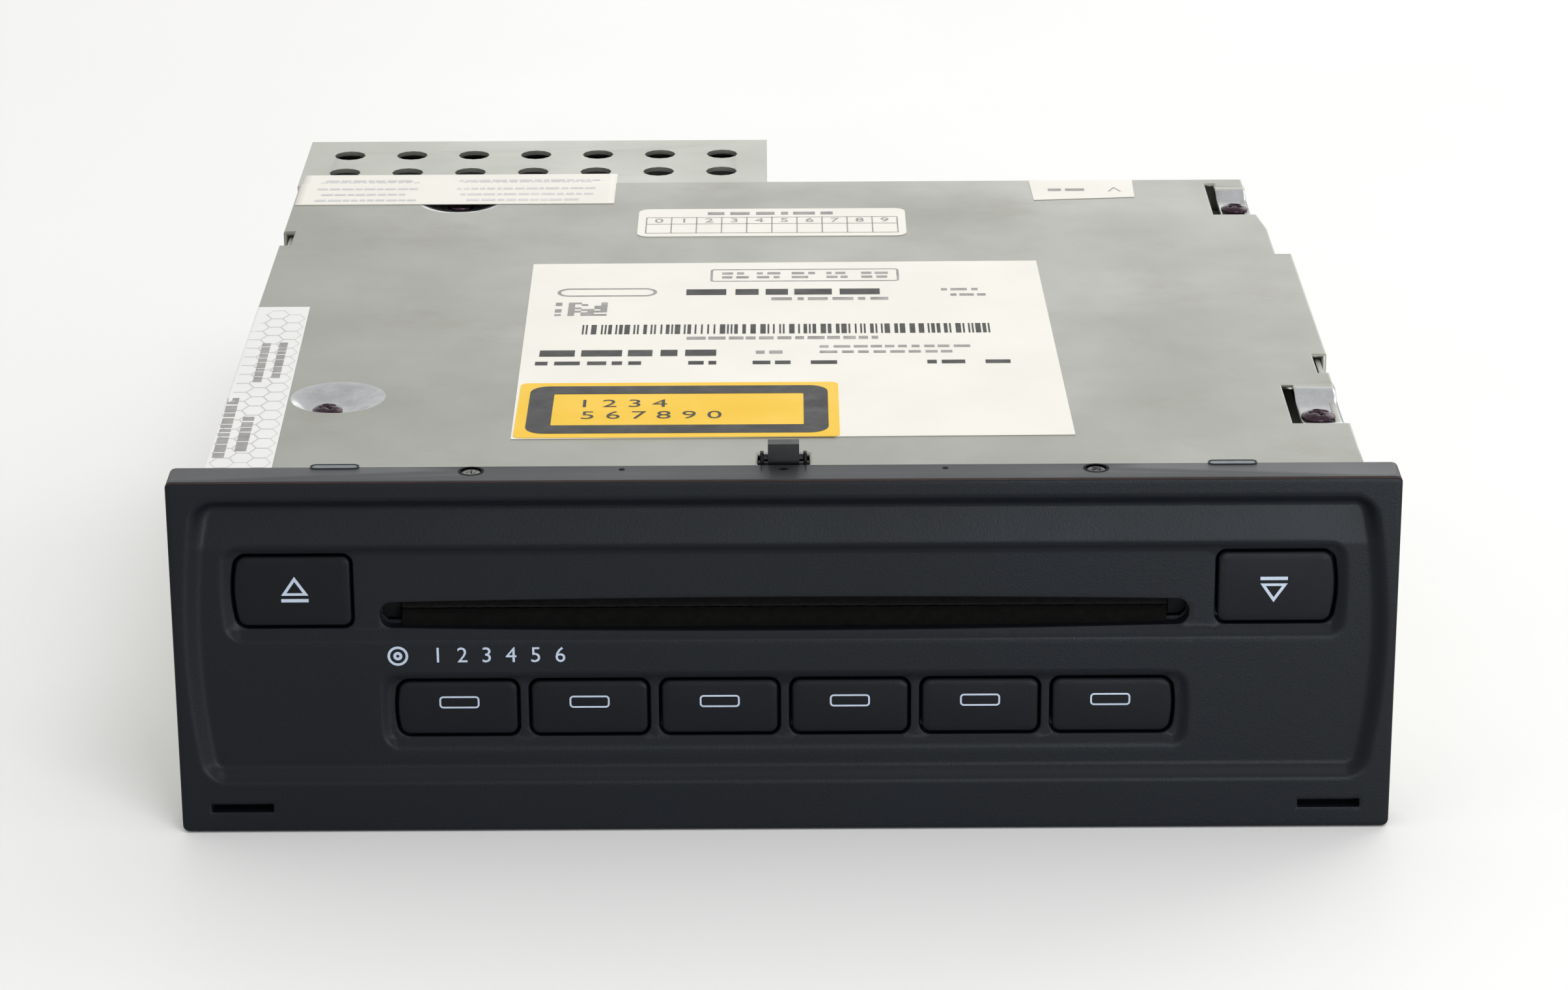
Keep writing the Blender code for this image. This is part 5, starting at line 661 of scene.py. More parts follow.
def add_skin(bm, outer, holes, depth_at, edge, hole_edge, wall_back, hole_back, points):
    """A face with rounded edges: fill the outline around its holes, roll its edges back and add the walls."""
    loops = [outer.loop(-edge)] + [hole.loop(hole_edge) for hole in holes]

    def in_hole(middle):
        return any(hole.distance(middle) < hole_edge * 2 and inside(middle, loop)
                   for hole, loop in zip(holes, loops[1:]))

    fill_loops(bm, loops, points, lambda spot: (spot.x, depth_at(spot), spot.y), in_hole)
    add_rim(bm, outer, depth_at, edge, -1, wall_back)
    for hole, back in zip(holes, hole_back):
        add_rim(bm, hole, depth_at, hole_edge, 1, back)
    bmesh.ops.remove_doubles(bm, verts=list(bm.verts), dist=MERGE_DISTANCE)


def add_back(bm, outline, depth):
    """A flat face with an outline, at a depth."""
    bm.faces.new([bm.verts.new((point.x, depth, point.y)) for point in outline.loop()])


def bezel_rear(bm):
    """Add the solid's own faces behind the front wall, and its outer walls behind the rounded edge."""
    solid = solid_copy("bezel")
    relief = []
    for face in solid.faces:
        middle = face.calc_center_median()
        outer = FACE.distance(Vector((middle.x, middle.z))) > -SKIN
        if not outer and middle.y < FACE_Y + WALL_BACK + SKIN and face.normal.y < BACKWARD:
            relief.append(face)
    bmesh.ops.delete(solid, geom=relief, context="FACES")
    keep_behind(solid, FACE_EDGE)
    pour(solid, bm)


def make_bezel():
    """The face with soft relief, rounded holes and edges; behind it the solid's own walls."""
    holes = [outline.grown(HOLE_MARGIN) for outline in buttons.values()] + [SLOT, *FOOT_SLOTS]
    backs = [WALL_BACK] * (len(buttons) + 1) + [FOOT_SLOT_BACK] * len(FOOT_SLOTS)
    lines_x = spread_lines(GRID_X, FACE_GRID, RAMPS_X, RAMP_GRID)
    lines_y = spread_lines(GRID_Y, FACE_GRID / 2, RAMPS_Y, RAMP_GRID)
    points = grid_points(FACE, holes, FACE_EDGE + HOLE_EDGE, lines_x, lines_y)
    bm = bmesh.new()
    add_skin(bm, FACE, holes, face_depth, FACE_EDGE, HOLE_EDGE, FACE_EDGE, backs, points)
    for outline in FOOT_SLOTS:
        add_back(bm, outline, FOOT_SLOT_BACK)
    bmesh.ops.translate(bm, verts=list(bm.verts), vec=(0.0, FACE_Y, 0.0))
    bmesh.ops.recalc_face_normals(bm, faces=list(bm.faces))
    bezel_rear(bm)
    bezel = add_piece("bezel_shell", bm, "face_plastic")
    smooth_piece(bezel)
    bezel.data.materials.append(materials["strip_plastic"])
    bezel.data.materials.append(materials["edge_wear"])
    for face in bezel.data.polygons:
        if face.normal.z > UPWARD and face.center.z > STRIP_FROM:
            face.material_index = 1
        elif face.normal.z > SLANTING and face.center.z > WEAR_FROM and face.center.y < FACE_Y + FACE_EDGE:
            face.material_index = 2
    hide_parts("bezel")


def button_depth(name):
    """A function for the depth of a button's front: level with what is around it, with a slight crown."""
    outline = buttons[name]
    around = VALLEY_DEPTH if name in ("eject_button", "load_button") else ROW_DEPTH

    def depth_at(point):
        away = point - outline.middle
        across, up = away.x / outline.half.x, away.y / outline.half.y
        return around - BUTTON_PROUD - BUTTON_CROWN * (1 - across * across / 2) * (1 - up * up)
    return depth_at


def make_buttons():
    """Caps with a rounded edge and a slight crown, in front of the solids' own lips and stems."""
    for name, outline in buttons.items():
        low, high = outline.middle - outline.half, outline.middle + outline.half
        lines_x = spaced(low.x, high.x, CAP_COLUMNS)[1:-1]
        lines_y = spaced(low.y, high.y, CAP_ROWS)[1:-1]
        points = grid_points(outline, [], CAP_CLEAR, lines_x, lines_y)
        bm = bmesh.new()
        add_skin(bm, outline, [], button_depth(name), BUTTON_EDGE, 0.0, BUTTON_BACK, [], points)
        add_back(bm, outline, BUTTON_BACK)
        bmesh.ops.remove_doubles(bm, verts=list(bm.verts), dist=MERGE_DISTANCE)
        bmesh.ops.translate(bm, verts=list(bm.verts), vec=(0.0, FACE_Y, 0.0))
        bmesh.ops.recalc_face_normals(bm, faces=list(bm.faces))
        rear = solid_copy(name)
        keep_behind(rear, BUTTON_BACK)
        pour(rear, bm)
        button = add_piece(f"{name}_cap", bm, "button_plastic", name)
        smooth_piece(button)
        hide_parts(name)


# The slot: two felt strips whose pile meets in the middle

PILE_FRONT = 0.0036
PILE_HALF = 0.0589
PILE_LOW = 0.0327
PILE_MIDDLE = 0.0357
PILE_HIGH = 0.0384
PILE_ROLL = 0.0007
PILE_FLAT_SHARE = 0.6
PILE_COLUMNS = 160
PILE_ROWS = 7
PILE_UNEVEN = 0.00008
PILE_SEED = 3
FIBRES = 3200
FIBRE_LENGTH = (0.0003, 0.0008)
FIBRE_WIDTH = 0.00005
FIBRE_SWAY = 0.5
FIBRE_LEAN = (0.08, 0.48)


def add_fibre(bm, root, generator, lean):
    """A thin tapered blade that stands out of the pile."""
    way = Vector((generator.uniform(-FIBRE_SWAY, FIBRE_SWAY), -1.0, lean * generator.uniform(*FIBRE_LEAN)))
    tip = root + way.normalized() * generator.uniform(*FIBRE_LENGTH)
    side = Vector((FIBRE_WIDTH / 2, 0.0, 0.0))
    bm.faces.new([bm.verts.new(corner) for corner in (root - side, root + side, tip)])


def make_pile(name, edge, generator):
    """One felt strip, from an edge of the slot to its middle, where it rolls back."""
    bm = bmesh.new()
    rows = []
    lean = 1.0 if edge < PILE_MIDDLE else -1.0
    for share in spaced(0, 1, PILE_ROWS):
        height = edge + (PILE_MIDDLE - lean * PILE_UNEVEN - edge) * share
        roll = PILE_ROLL * (max(0.0, share - PILE_FLAT_SHARE) / (1 - PILE_FLAT_SHARE)) ** 2
        line = []
        for across in spaced(-PILE_HALF, PILE_HALF, PILE_COLUMNS):
            back = FACE_Y + PILE_FRONT + roll + generator.uniform(-PILE_UNEVEN, PILE_UNEVEN)
            line.append(bm.verts.new((across, back, height + generator.uniform(-1, 1) * PILE_UNEVEN / 2)))
        rows.append(line)
    add_bands(bm, rows[::-1], closed=False)
    roots = [vertex for line in rows for vertex in line]
    for _ in range(FIBRES):
        anchor = generator.choice(roots).co
        root = anchor + Vector((generator.uniform(-1, 1), 0.0, generator.uniform(-1, 1))) * PILE_ROLL / 2
        root.z = max(PILE_LOW, min(PILE_HIGH, root.z))
        add_fibre(bm, root, generator, lean)
    add_piece(name, bm, "pile", smooth=True)


# The cover: the solid's folded sheet with rolled edges, a smooth dish round each screw and stepped tongues

SHEET = 0.0008
SHEET_ROLL = 0.0004
COVER_FRONT = 0.0069
COVER_REAR = 0.1610
COVER_HALF = 0.0890
COVER_OUTLINE = (
    (-COVER_HALF, COVER_FRONT), (-0.0040, COVER_FRONT), (-0.0040, 0.0132), (0.0040, 0.0132),
    (0.0040, COVER_FRONT), (COVER_HALF, COVER_FRONT), (COVER_HALF, 0.0260), (0.0800, 0.0260),
    (0.0800, 0.0445),
    (0.0884, 0.0445), (0.0884, 0.0505), (0.0866, 0.0505), (0.0866, 0.0600), (COVER_HALF, 0.0600),
    (COVER_HALF, 0.1150), (0.0862, 0.1150), (0.0862, 0.1300), (0.0852, 0.1388), (0.0775, 0.1388),
    (0.0775, 0.1580), (0.0791, 0.1580), (0.0791, 0.1560), (0.0845, 0.1560), (0.0845, COVER_REAR),
    (-COVER_HALF, COVER_REAR), (-COVER_HALF, 0.1310), (-0.0870, 0.1310), (-0.0870, 0.1230),
    (-COVER_HALF, 0.1230),
)
DISH_RADIUS = 0.0076
DISH_FLOOR_RADIUS = 0.0030
DISH_DEPTH = 0.0012
DISH_SLOPE = 0.1
DISH_RINGS = 14
DISH_STEPS = 72
DISHES = (
    # centre of the rim, centre of the floor
    ((-0.0712, 0.0405), (-0.0726, 0.0370)),
    ((-0.0586, 0.1495), (-0.0586, 0.1495)),
)
TONGUES = (
    # left, right, tip, root
    (0.0818, 0.0884, 0.0275, 0.0445),
    (0.0791, 0.0845, 0.1404, 0.1560),
)
TONGUE_THICKNESS = 0.0006
TONGUE_PROFILE = (
    # share of the way from the root to the tip, drop below the cover
    (0.00, 0.0), (0.06, 0.0), (0.10, -0.00006), (0.14, -0.00004), (0.18, 0.00010), (0.22, 0.00038),
    (0.27, 0.00078), (0.32, 0.00104), (0.38, 0.00118), (0.50, 0.00124), (0.72, 0.00126), (0.84, 0.00124),
    (0.92, 0.00104), (1.00, 0.00074),
)
TONGUE_COLUMNS = 12
# The pressed zinc with its painted highlight covers each tongue except this distance at its root
TONGUE_HIGHLIGHT_FROM = 0.0020
# Depth and thickness of the dark sheet that paints the shade under the hood's vents
SHADE_SHEET_DROP = 0.0030
SHADE_SHEET_THICKNESS = 0.0004


def polygon_offset(points, offset):
    """A closed polygon moved inwards by offset, corner by corner."""
    moved = []
    count = len(points)
    for index in range(count):
        before, here, after = (Vector(points[(index + step) % count]) for step in (-1, 0, 1))
        first = (here - before).normalized()
        second = (after - here).normalized()
        inward_first = Vector((-first.y, first.x))
        inward_second = Vector((-second.y, second.x))
        moved.append(here + (inward_first + inward_second) * offset / (1 + inward_first.dot(inward_second)))
    return moved


def in_dish(spot):
    """Whether a place on top lies within the rim of a dish."""
    return any((spot - Vector(rim)).length < DISH_RADIUS for rim, floor in DISHES)


def is_burnished(spot):
    """Whether a place on top is in a dish or on a tongue, where pressing has smoothed the zinc and a lighter
    colour paints a highlight.
    """
    return in_dish(spot) or any(spot.x > left and tip - SKIN < spot.y < root - TONGUE_HIGHLIGHT_FROM
                                for left, right, tip, root in TONGUES)


def cover_top(bm):
    """The flat of the sheet with its rolled edge and the round holes of the dishes."""
    loops = [polygon_offset(COVER_OUTLINE, SHEET_ROLL)]
    loops += [[Vector(point) for point in circle(*rim, DISH_RADIUS, DISH_STEPS)] for rim, floor in DISHES]
    fill_loops(bm, loops, [], lambda spot: (spot.x, FACE_Y + spot.y, COVER_TOP), in_dish)
    rings = []
    for turn in spaced(0, 90, RING_STEPS + 1):
        angle = math.radians(turn)
        ring = polygon_offset(COVER_OUTLINE, SHEET_ROLL * (1 - math.sin(angle)))
        level = COVER_TOP - SHEET_ROLL * (1 - math.cos(angle))
        rings.append([bm.verts.new((point.x, FACE_Y + point.y, level)) for point in ring])
    add_bands(bm, rings)


def cover_dish(bm, rim, floor):
    """A smooth dish that runs from its round rim down to a small floor, which needn't be in its middle."""
    rings = []
    for share in spaced(0, 1, DISH_RINGS):
        u, v = Vector(rim).lerp(Vector(floor), share)
        radius = DISH_RADIUS + (DISH_FLOOR_RADIUS - DISH_RADIUS) * share
        level = COVER_TOP - DISH_DEPTH * eased(share)
        rings.append([bm.verts.new((x, FACE_Y + y, level)) for x, y in circle(u, v, radius, DISH_STEPS)])
    add_bands(bm, rings)
    bm.faces.new(rings[-1])


def add_tongue(bm, left, right, tip, root):
    """A strap of the sheet that steps down towards its tip."""
    surfaces = []
    columns = spaced(left, right, TONGUE_COLUMNS)
    for thickness in (0.0, TONGUE_THICKNESS):
        rows = []
        for share, drop in TONGUE_PROFILE:
            y = FACE_Y + root + (tip - root) * share
            level = COVER_TOP - drop - thickness
            rows.append([bm.verts.new((x, y, level)) for x in columns])
        surfaces.append(rows)
    add_sheet(bm, *surfaces, ends=(-1,))


def cover_rest(bm):
    """The solid's flanges and underside, without what the scene shapes anew."""
    solid = solid_copy("top_cover")
    doomed = []
    for face in solid.faces:
        middle = face.calc_center_median()
        spot = Vector((middle.x, middle.y - FACE_Y))
        if middle.z > COVER_TOP - SKIN or (in_dish(spot) and face.normal.z > DISH_SLOPE):
            doomed.append(face)
    bmesh.ops.delete(solid, geom=doomed, context="FACES")
    cut(solid, (0.0, 0.0, COVER_TOP - SHEET_ROLL), (0.0, 0.0, 1.0), clear_outer=True)
    for left, right, tip, root in TONGUES:
        cut(solid, (left - SKIN, 0.0, 0.0), (1.0, 0.0, 0.0))
        for distance in (tip - SKIN, root):
            cut(solid, (0.0, FACE_Y + distance, 0.0), (0.0, 1.0, 0.0))
    doomed = []
    for face in solid.faces:
        middle = face.calc_center_median()
        distance = middle.y - FACE_Y
        for left, right, tip, root in TONGUES:
            if middle.x > left - SKIN and tip - SKIN < distance < root and middle.z > COVER_TOP - 2 * SHEET:
                doomed.append(face)
    bmesh.ops.delete(solid, geom=doomed, context="FACES")
    pour(solid, bm)


def make_cover():
    bm = bmesh.new()
    cover_top(bm)
    for rim, floor in DISHES:
        cover_dish(bm, rim, floor)
    for tongue in TONGUES:
        add_tongue(bm, *tongue)
    bmesh.ops.remove_doubles(bm, verts=list(bm.verts), dist=MERGE_DISTANCE)
    bmesh.ops.recalc_face_normals(bm, faces=list(bm.faces))
    for face in bm.faces:
        if face.normal.z < 0 and face.calc_center_median().z > COVER_TOP - MERGE_DISTANCE:
            face.normal_flip()
    cover_rest(bm)
    cover = add_piece("cover_shell", bm, "zinc_sheet")
    smooth_piece(cover)
    # The dishes and the tongues take the pressed zinc, whose lighter colour paints their highlight
    cover.data.materials.append(materials["pressed_zinc_painted_highlight"])
    for face in cover.data.polygons:
        spot = Vector((face.center.x, face.center.y - FACE_Y))
        if face.center.z > COVER_TOP - 2 * SHEET and is_burnished(spot):
            face.material_index = 1
    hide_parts("top_cover")


def make_dust_screen():
    """A dark sheet under the vents of the hood: painted shade seen through them."""
    bm = bmesh.new()
    add_box(bm, *inset((HOOD_LOW.x, HOOD_LOW.y - FACE_Y, HOOD_HIGH.x, HOOD_HIGH.y - FACE_Y), SHEET))
    raised(bm, HOOD_TOP - SHADE_SHEET_DROP - SHADE_SHEET_THICKNESS, HOOD_TOP - SHADE_SHEET_DROP)
    add_piece("vent_shade_sheet", bm, "felt")


# Screw heads and the small trim on the strip above the face

FACE_SCREW_X = 0.0477
FACE_SCREW_Y = 0.0046
SCREWS = (
    # name, place, seat, height, radius, turn of the cross, share of the height at the rim, material, solid
    ("cover_screw_front_head", (-0.0726, 0.0370), 0.0564, 0.00105, 0.0024, 0.4, 0.35, "violet_steel",
     "cover_screw_front"),
    ("cover_screw_rear_head", (-0.0586, 0.1495), 0.0564, 0.00105, 0.0024, 0.9, 0.35, "violet_steel",
     "cover_screw_rear"),
    ("tongue_screw_head", (0.0846, 0.0316), 0.0564, 0.00112, 0.0027, 0.2, 0.35, "violet_steel", None),
    ("corner_screw_head", (0.0818, 0.1450), 0.0564, 0.00105, 0.0024, 0.7, 0.35, "violet_steel", None),
    ("face_screw_left_head", (-FACE_SCREW_X, FACE_SCREW_Y), 0.0568, 0.00112, 0.00165, 0.5, 0.82, "dull_steel",
     "bezel_screw_left"),
    ("face_screw_right_head", (FACE_SCREW_X, FACE_SCREW_Y), 0.0568, 0.00112, 0.00165, 0.75, 0.82,
     "blackened_steel", "bezel_screw_right"),
)
SCREW_STEPS = 64
SCREW_RINGS = 16
CROSS_REACH_SHARE = 0.62
CROSS_WIDTH_SHARE = 0.15
CROSS_FLARE_SHARE = 0.10
CROSS_DEPTH_SHARE = 0.50
CROSS_END_SLOPE = 0.18
CROSS_SIDE_SLOPE = 0.05
SNAP_X = 0.0687
SNAP_HALF = 0.0038
SNAP_FRONT = 0.0059
SNAP_REAR = 0.0078
SNAP_RIM = 0.00018
SNAP_RISE = 0.00012
# Radii of the dark flat ring that paints the shade of each screw recess
RECESS_RADII = (0.0020, 0.0016)
PIN_X = 0.0247
PIN_Y = 0.0050
# Radius of the dark disc that paints the shade of each pin hole
PIN_RADIUS = 0.00048
LATCH_HALF = 0.0034
LATCH_FRONT = 0.0040
LATCH_REAR = 0.0066
LATCH_LINE = 0.00010
DIAMOND_Y = 0.0048
DIAMOND_HALF = (0.0009, 0.0006)
TRIM_LIFT = 0.00003


def screw_level(u, v, height, rim_share):
    """Height of a domed head with a cross recess, at (u, v) in shares of its radius."""
    reach = math.hypot(u, v)
    dome = height * (1 - (1 - rim_share) * reach ** 3)
    end = eased((CROSS_REACH_SHARE - reach) / CROSS_END_SLOPE)
    half = CROSS_WIDTH_SHARE + CROSS_FLARE_SHARE * (1 - reach)
    arm = eased((half - min(abs(u), abs(v))) / CROSS_SIDE_SLOPE)
    return dome - height * CROSS_DEPTH_SHARE * end * arm


def make_screw(name, place, seat, height, radius, turn, rim_share, finish, solid):
    bm = bmesh.new()
    rings = []
    for share in spaced(0, 1, SCREW_RINGS)[1:]:
        line = []
        for step in range(SCREW_STEPS):
            angle = math.tau * step / SCREW_STEPS
            u, v = share * math.cos(angle), share * math.sin(angle)
            x, y = radius * (share * math.cos(angle + turn)), radius * (share * math.sin(angle + turn))
            level = seat + screw_level(u, v, height, rim_share)
            line.append(bm.verts.new((place[0] + x, FACE_Y + place[1] + y, level)))
        rings.append(line)
    centre = bm.verts.new((place[0], FACE_Y + place[1], seat + screw_level(0.0, 0.0, height, rim_share)))
    for step in range(SCREW_STEPS):
        bm.faces.new([centre, rings[0][step], rings[0][(step + 1) % SCREW_STEPS]])
    rings.append([bm.verts.new((vertex.co.x, vertex.co.y, seat)) for vertex in rings[-1]])
    add_bands(bm, rings)
    bm.faces.new(rings[-1])
    bmesh.ops.recalc_face_normals(bm, faces=list(bm.faces))
    head = add_piece(name, bm, finish)
    smooth_piece(head)
    if solid:
        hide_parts(solid)


def make_strip_trim():
    """Snap inserts with a dark rim; pin holes and screw recesses drawn as flat dark shapes, painted shade in
    place of hollows; the latch plate with its diamond.
    """
    dark = bmesh.new()
    for side, word in ((-1, "left"), (1, "right")):
        box = (side * SNAP_X - SNAP_HALF, SNAP_FRONT, side * SNAP_X + SNAP_HALF, SNAP_REAR)
        corner = (SNAP_REAR - SNAP_FRONT) / 2 - MERGE_DISTANCE
        rim = bmesh.new()
        add_frame(rim, box, corner, SNAP_RIM)
        raised(rim, COVER_TOP - SHEET / 2, STRIP_TOP + SNAP_RISE)
        add_piece(f"snap_rim_{word}", rim, "black_plastic")
        insert = bmesh.new()
        add_shape(insert, rounded_box(inset(box, 2 * SNAP_RIM), corner - 2 * SNAP_RIM))
        raised(insert, COVER_TOP - SHEET / 2, STRIP_TOP + SNAP_RISE / 2)
        add_piece(f"snap_insert_{word}", insert, "insert_metal")
        # Painted shade: a dark disc for each pin hole and a dark flat ring for each screw recess
        add_shape(dark, circle(side * PIN_X, PIN_Y, PIN_RADIUS, CORNER_STEPS * 4))
        add_ring(dark, *(circle(side * FACE_SCREW_X, FACE_SCREW_Y, radius) for radius in RECESS_RADII))
    wide, tall = DIAMOND_HALF
    add_shape(dark, [(-wide, DIAMOND_Y), (0.0, DIAMOND_Y - tall), (wide, DIAMOND_Y), (0.0, DIAMOND_Y + tall)])
    for u in (-LATCH_HALF, LATCH_HALF):
        add_line(dark, (u, LATCH_FRONT), (u, LATCH_REAR), LATCH_LINE)
    lay_on_top(dark, STRIP_TOP + TRIM_LIFT)
    add_piece("strip_shade_and_marks", dark, "guide_black_and_hole_shade")


# Print on the face and the buttons

FACE_INK_LIFT = 0.00003
BUTTON_MARK_RISE = 0.0010
BUTTON_MARK_WIDTH = 0.0062
BUTTON_MARK_HEIGHT = 0.0020
BUTTON_MARK_CORNER = 0.0006
MARK_STROKE = 0.00027
SYMBOL_HALF = 0.0021
TRIANGLE_RISE = 0.0031
TRIANGLE_FOOT = 0.0006
TRIANGLE_HOLE_SHARE = 0.60
BAR_GAP = 0.00055
BAR_HEIGHT = 0.00055
FACE_MARK_HEIGHT = 0.0289
FACE_DISC_X = -0.0596
FACE_DISC_RADII = ((0.0016, 0.0012), (0.0007, 0.00025))
FACE_NUMBERS = "1  2  3  4  5  6"
FACE_NUMBERS_X = -0.0440
FACE_NUMBER_HEIGHT = 0.0025


def print_on_face(bm, depth_at):
    """Stand flat (across, height) print up in front of a surface whose depth is given."""
    lay(bm, lambda u, v: (u, FACE_Y + depth_at(Vector((u, v))) - FACE_INK_LIFT, v))
    for face in bm.faces:
        face.normal_update()
        if face.normal.y > 0:
            face.normal_flip()


def make_button_marks():
    """A small outlined window on each disc button."""
    for number in range(1, DISC_BUTTONS + 1):
        node = f"disc_button_{number}"
        u, v = buttons[node].middle.x, buttons[node].middle.y + BUTTON_MARK_RISE
        half, rise = BUTTON_MARK_WIDTH / 2, BUTTON_MARK_HEIGHT / 2
        bm = bmesh.new()
        add_frame(bm, (u - half, v - rise, u + half, v + rise), BUTTON_MARK_CORNER, MARK_STROKE)
        print_on_face(bm, button_depth(node))
        add_piece(f"button_mark_{number}", bm, "face_print", node)


def make_arrow(name, button, direction):
    """An outlined triangle that points up (1) or down (-1), with a bar behind it."""
    u, v = buttons[button].middle
    bm = bmesh.new()
    base = v - direction * TRIANGLE_FOOT
    outer = [(u - SYMBOL_HALF, base), (u + SYMBOL_HALF, base), (u, base + direction * TRIANGLE_RISE)]
    centre = base + direction * TRIANGLE_RISE / 3
    inner = [(u + (x - u) * TRIANGLE_HOLE_SHARE, centre + (y - centre) * TRIANGLE_HOLE_SHARE)
             for x, y in outer]
    add_ring(bm, outer, inner)
    near = base - direction * BAR_GAP
    far = near - direction * BAR_HEIGHT
    add_box(bm, u - SYMBOL_HALF, min(near, far), u + SYMBOL_HALF, max(near, far))
    print_on_face(bm, button_depth(button))
    add_piece(name, bm, "face_print", button)


def make_face_marks():
    """A plain disc symbol and the numbers 1 to 6 on the face, above the disc buttons."""
    bm = bmesh.new()
    for radii in FACE_DISC_RADII:
        add_ring(bm, *(circle(FACE_DISC_X, FACE_MARK_HEIGHT, radius) for radius in radii))
    add_digits(bm, FACE_NUMBERS, FACE_NUMBERS_X, FACE_MARK_HEIGHT, FACE_NUMBER_HEIGHT)
    print_on_face(bm, face_depth)
    add_piece("face_marks", bm, "face_print")


# Flat labels. Rows of bars in place of words are layer, box, share of their height that parts them

PAPER_LIFT = 0.00002
PAPER_THICKNESS = 0.00008
PAPER_TOP = PAPER_LIFT + PAPER_THICKNESS
INK_LIFT = 0.00003
DARK, FADED = 0, 1
MAIN_SEED = 11
MAIN_LABEL = ((-0.0425, 0.0200), (0.0455, 0.0208), (0.0441, 0.1112), (-0.0434, 0.1106))
MAIN_FRAMES = (
    # box, corner, stroke
    ((-0.0125, 0.1000, 0.0200, 0.1070), 0.0008, 0.0004),
    ((-0.0385, 0.0920, -0.0215, 0.0965), 0.0022, 0.0006),
)
SMALL_BAR_LEFTS = [-0.0105 + number * 0.0060 for number in range(5)]
SMALL_BAR_WIDTH = 0.0046
SMALL_BAR_LEVELS = ((0.1018, 0.1030), (0.1040, 0.1052))
REAR_BARS = (
    *((FADED, (left, bottom, left + SMALL_BAR_WIDTH, top), OPEN_SHARE)
      for left in SMALL_BAR_LEFTS for bottom, top in SMALL_BAR_LEVELS),
    (DARK, (-0.0165, 0.0925, 0.0190, 0.0957), LOOSE_SHARE),
    (FADED, (-0.0020, 0.0895, 0.0195, 0.0910), OPEN_SHARE),
    (FADED, (0.0270, 0.0945, 0.0345, 0.0957), OPEN_SHARE),
    (FADED, (0.0285, 0.0915, 0.0345, 0.0927), OPEN_SHARE),
)
SQUARES = 8
SQUARES_FROM = (-0.0385, 0.0815)
SQUARE_SIZE = (0.0011, 0.0009)
SQUARE_SHARE = 0.55
STRIPE_BOX = (-0.0335, 0.0715, 0.0345, 0.0765)
LOW_BAR_LEFTS = (-0.0155, -0.0050, 0.0045, 0.0235, 0.0330)
LOW_BAR_WIDTH = 0.0062
FRONT_BARS = (
    (FADED, (-0.0160, 0.0685, 0.0170, 0.0700), DENSE_SHARE),
    (DARK, (-0.0400, 0.0600, -0.0110, 0.0632), DENSE_SHARE),
    (FADED, (-0.0045, 0.0610, 0.0010, 0.0626), OPEN_SHARE),
    (FADED, (0.0060, 0.0640, 0.0315, 0.0652), OPEN_SHARE),
    (FADED, (0.0060, 0.0612, 0.0295, 0.0624), OPEN_SHARE),
    (DARK, (-0.0405, 0.0556, -0.0215, 0.0574), OPEN_SHARE),
    *((DARK, (left, 0.0556, left + LOW_BAR_WIDTH, 0.0574), OPEN_SHARE) for left in LOW_BAR_LEFTS),
)
YELLOW_PATCH = (-0.0422, 0.0203, 0.0088, 0.0464)
PATCH_CORNER = 0.0012
FRAME_INSET = 0.0017
FRAME_WIDTH = 0.0039
FRAME_CORNER = 0.0030
FRAME_INNER_CORNER = 0.0002
PATCH_DIGITS = (
    # digits, place from the patch's left edge and its middle
    ("1 2 3 4", 0.0166, 0.0027),
    ("5 6 7 8 9 0", 0.0213, -0.0029),
)
PATCH_DIGIT_HEIGHT = 0.0036
GRID_LABEL = (-0.0259, 0.1266, 0.0220, 0.1433)
GRID_SEED = 5
GRID_CORNER = 0.0020
GRID_BAR = (-0.0135, 0.1395, 0.0090, 0.1412)
GRID_CELLS = 10
GRID_MARGIN = 0.0015
GRID_LEVELS = (0.1285, 0.1340, 0.1380)
GRID_LINE = 0.00022
GRID_DIGIT_V = 0.1360
GRID_DIGIT_HEIGHT = 0.0024
CORNER_LABEL = ((0.0456, 0.1480), (0.0640, 0.1496), (0.0643, 0.1606), (0.0453, 0.1602))
CORNER_SEED = 17
CORNER_BAR = (0.0485, 0.1535, 0.0570, 0.1550)
CORNER_MARK = ((0.0595, 0.1530), (0.0606, 0.1555), (0.0617, 0.1530))
CORNER_LINE = 0.0003


def add_label(name, outline, level, finish):
    """A thin sheet with the given outline, lying on a level."""
    bm = bmesh.new()
    add_shape(bm, outline)
    raised(bm, level + PAPER_LIFT, level + PAPER_TOP)
    add_piece(name, bm, finish)


def add_print(name, bm, level, finish):
    """Lay flat print on top of a label."""
    lay_on_top(bm, level + PAPER_TOP + INK_LIFT)
    add_piece(name, bm, finish)


def add_bars(layers, bars, generator):
    for layer, box, gap_share in bars:
        add_words(layers[layer], box, generator, gap_share)


def make_main_label():
    """The large white label: frames, stripes, squares, bars in place of words, and a yellow patch."""
    generator = random.Random(MAIN_SEED)
    add_label("main_label", list(MAIN_LABEL), COVER_TOP, "paper")
    layers = [bmesh.new(), bmesh.new()]
    for box, corner, stroke in MAIN_FRAMES:
        add_frame(layers[FADED], box, corner, stroke)
    add_bars(layers, REAR_BARS, generator)
    wide, tall = SQUARE_SIZE
    for row in range(SQUARES):
        for column in range(SQUARES):
            if generator.random() < SQUARE_SHARE:
                u, v = SQUARES_FROM[0] + column * wide, SQUARES_FROM[1] + row * tall
                add_box(layers[FADED], u, v, u + wide, v + tall)
    add_stripes(layers[DARK], STRIPE_BOX, generator)
    add_bars(layers, FRONT_BARS, generator)
    add_print("main_label_bars", layers[DARK], COVER_TOP, "grey_ink")
    add_print("main_label_fine_bars", layers[FADED], COVER_TOP, "faded_ink")
    make_yellow_patch()


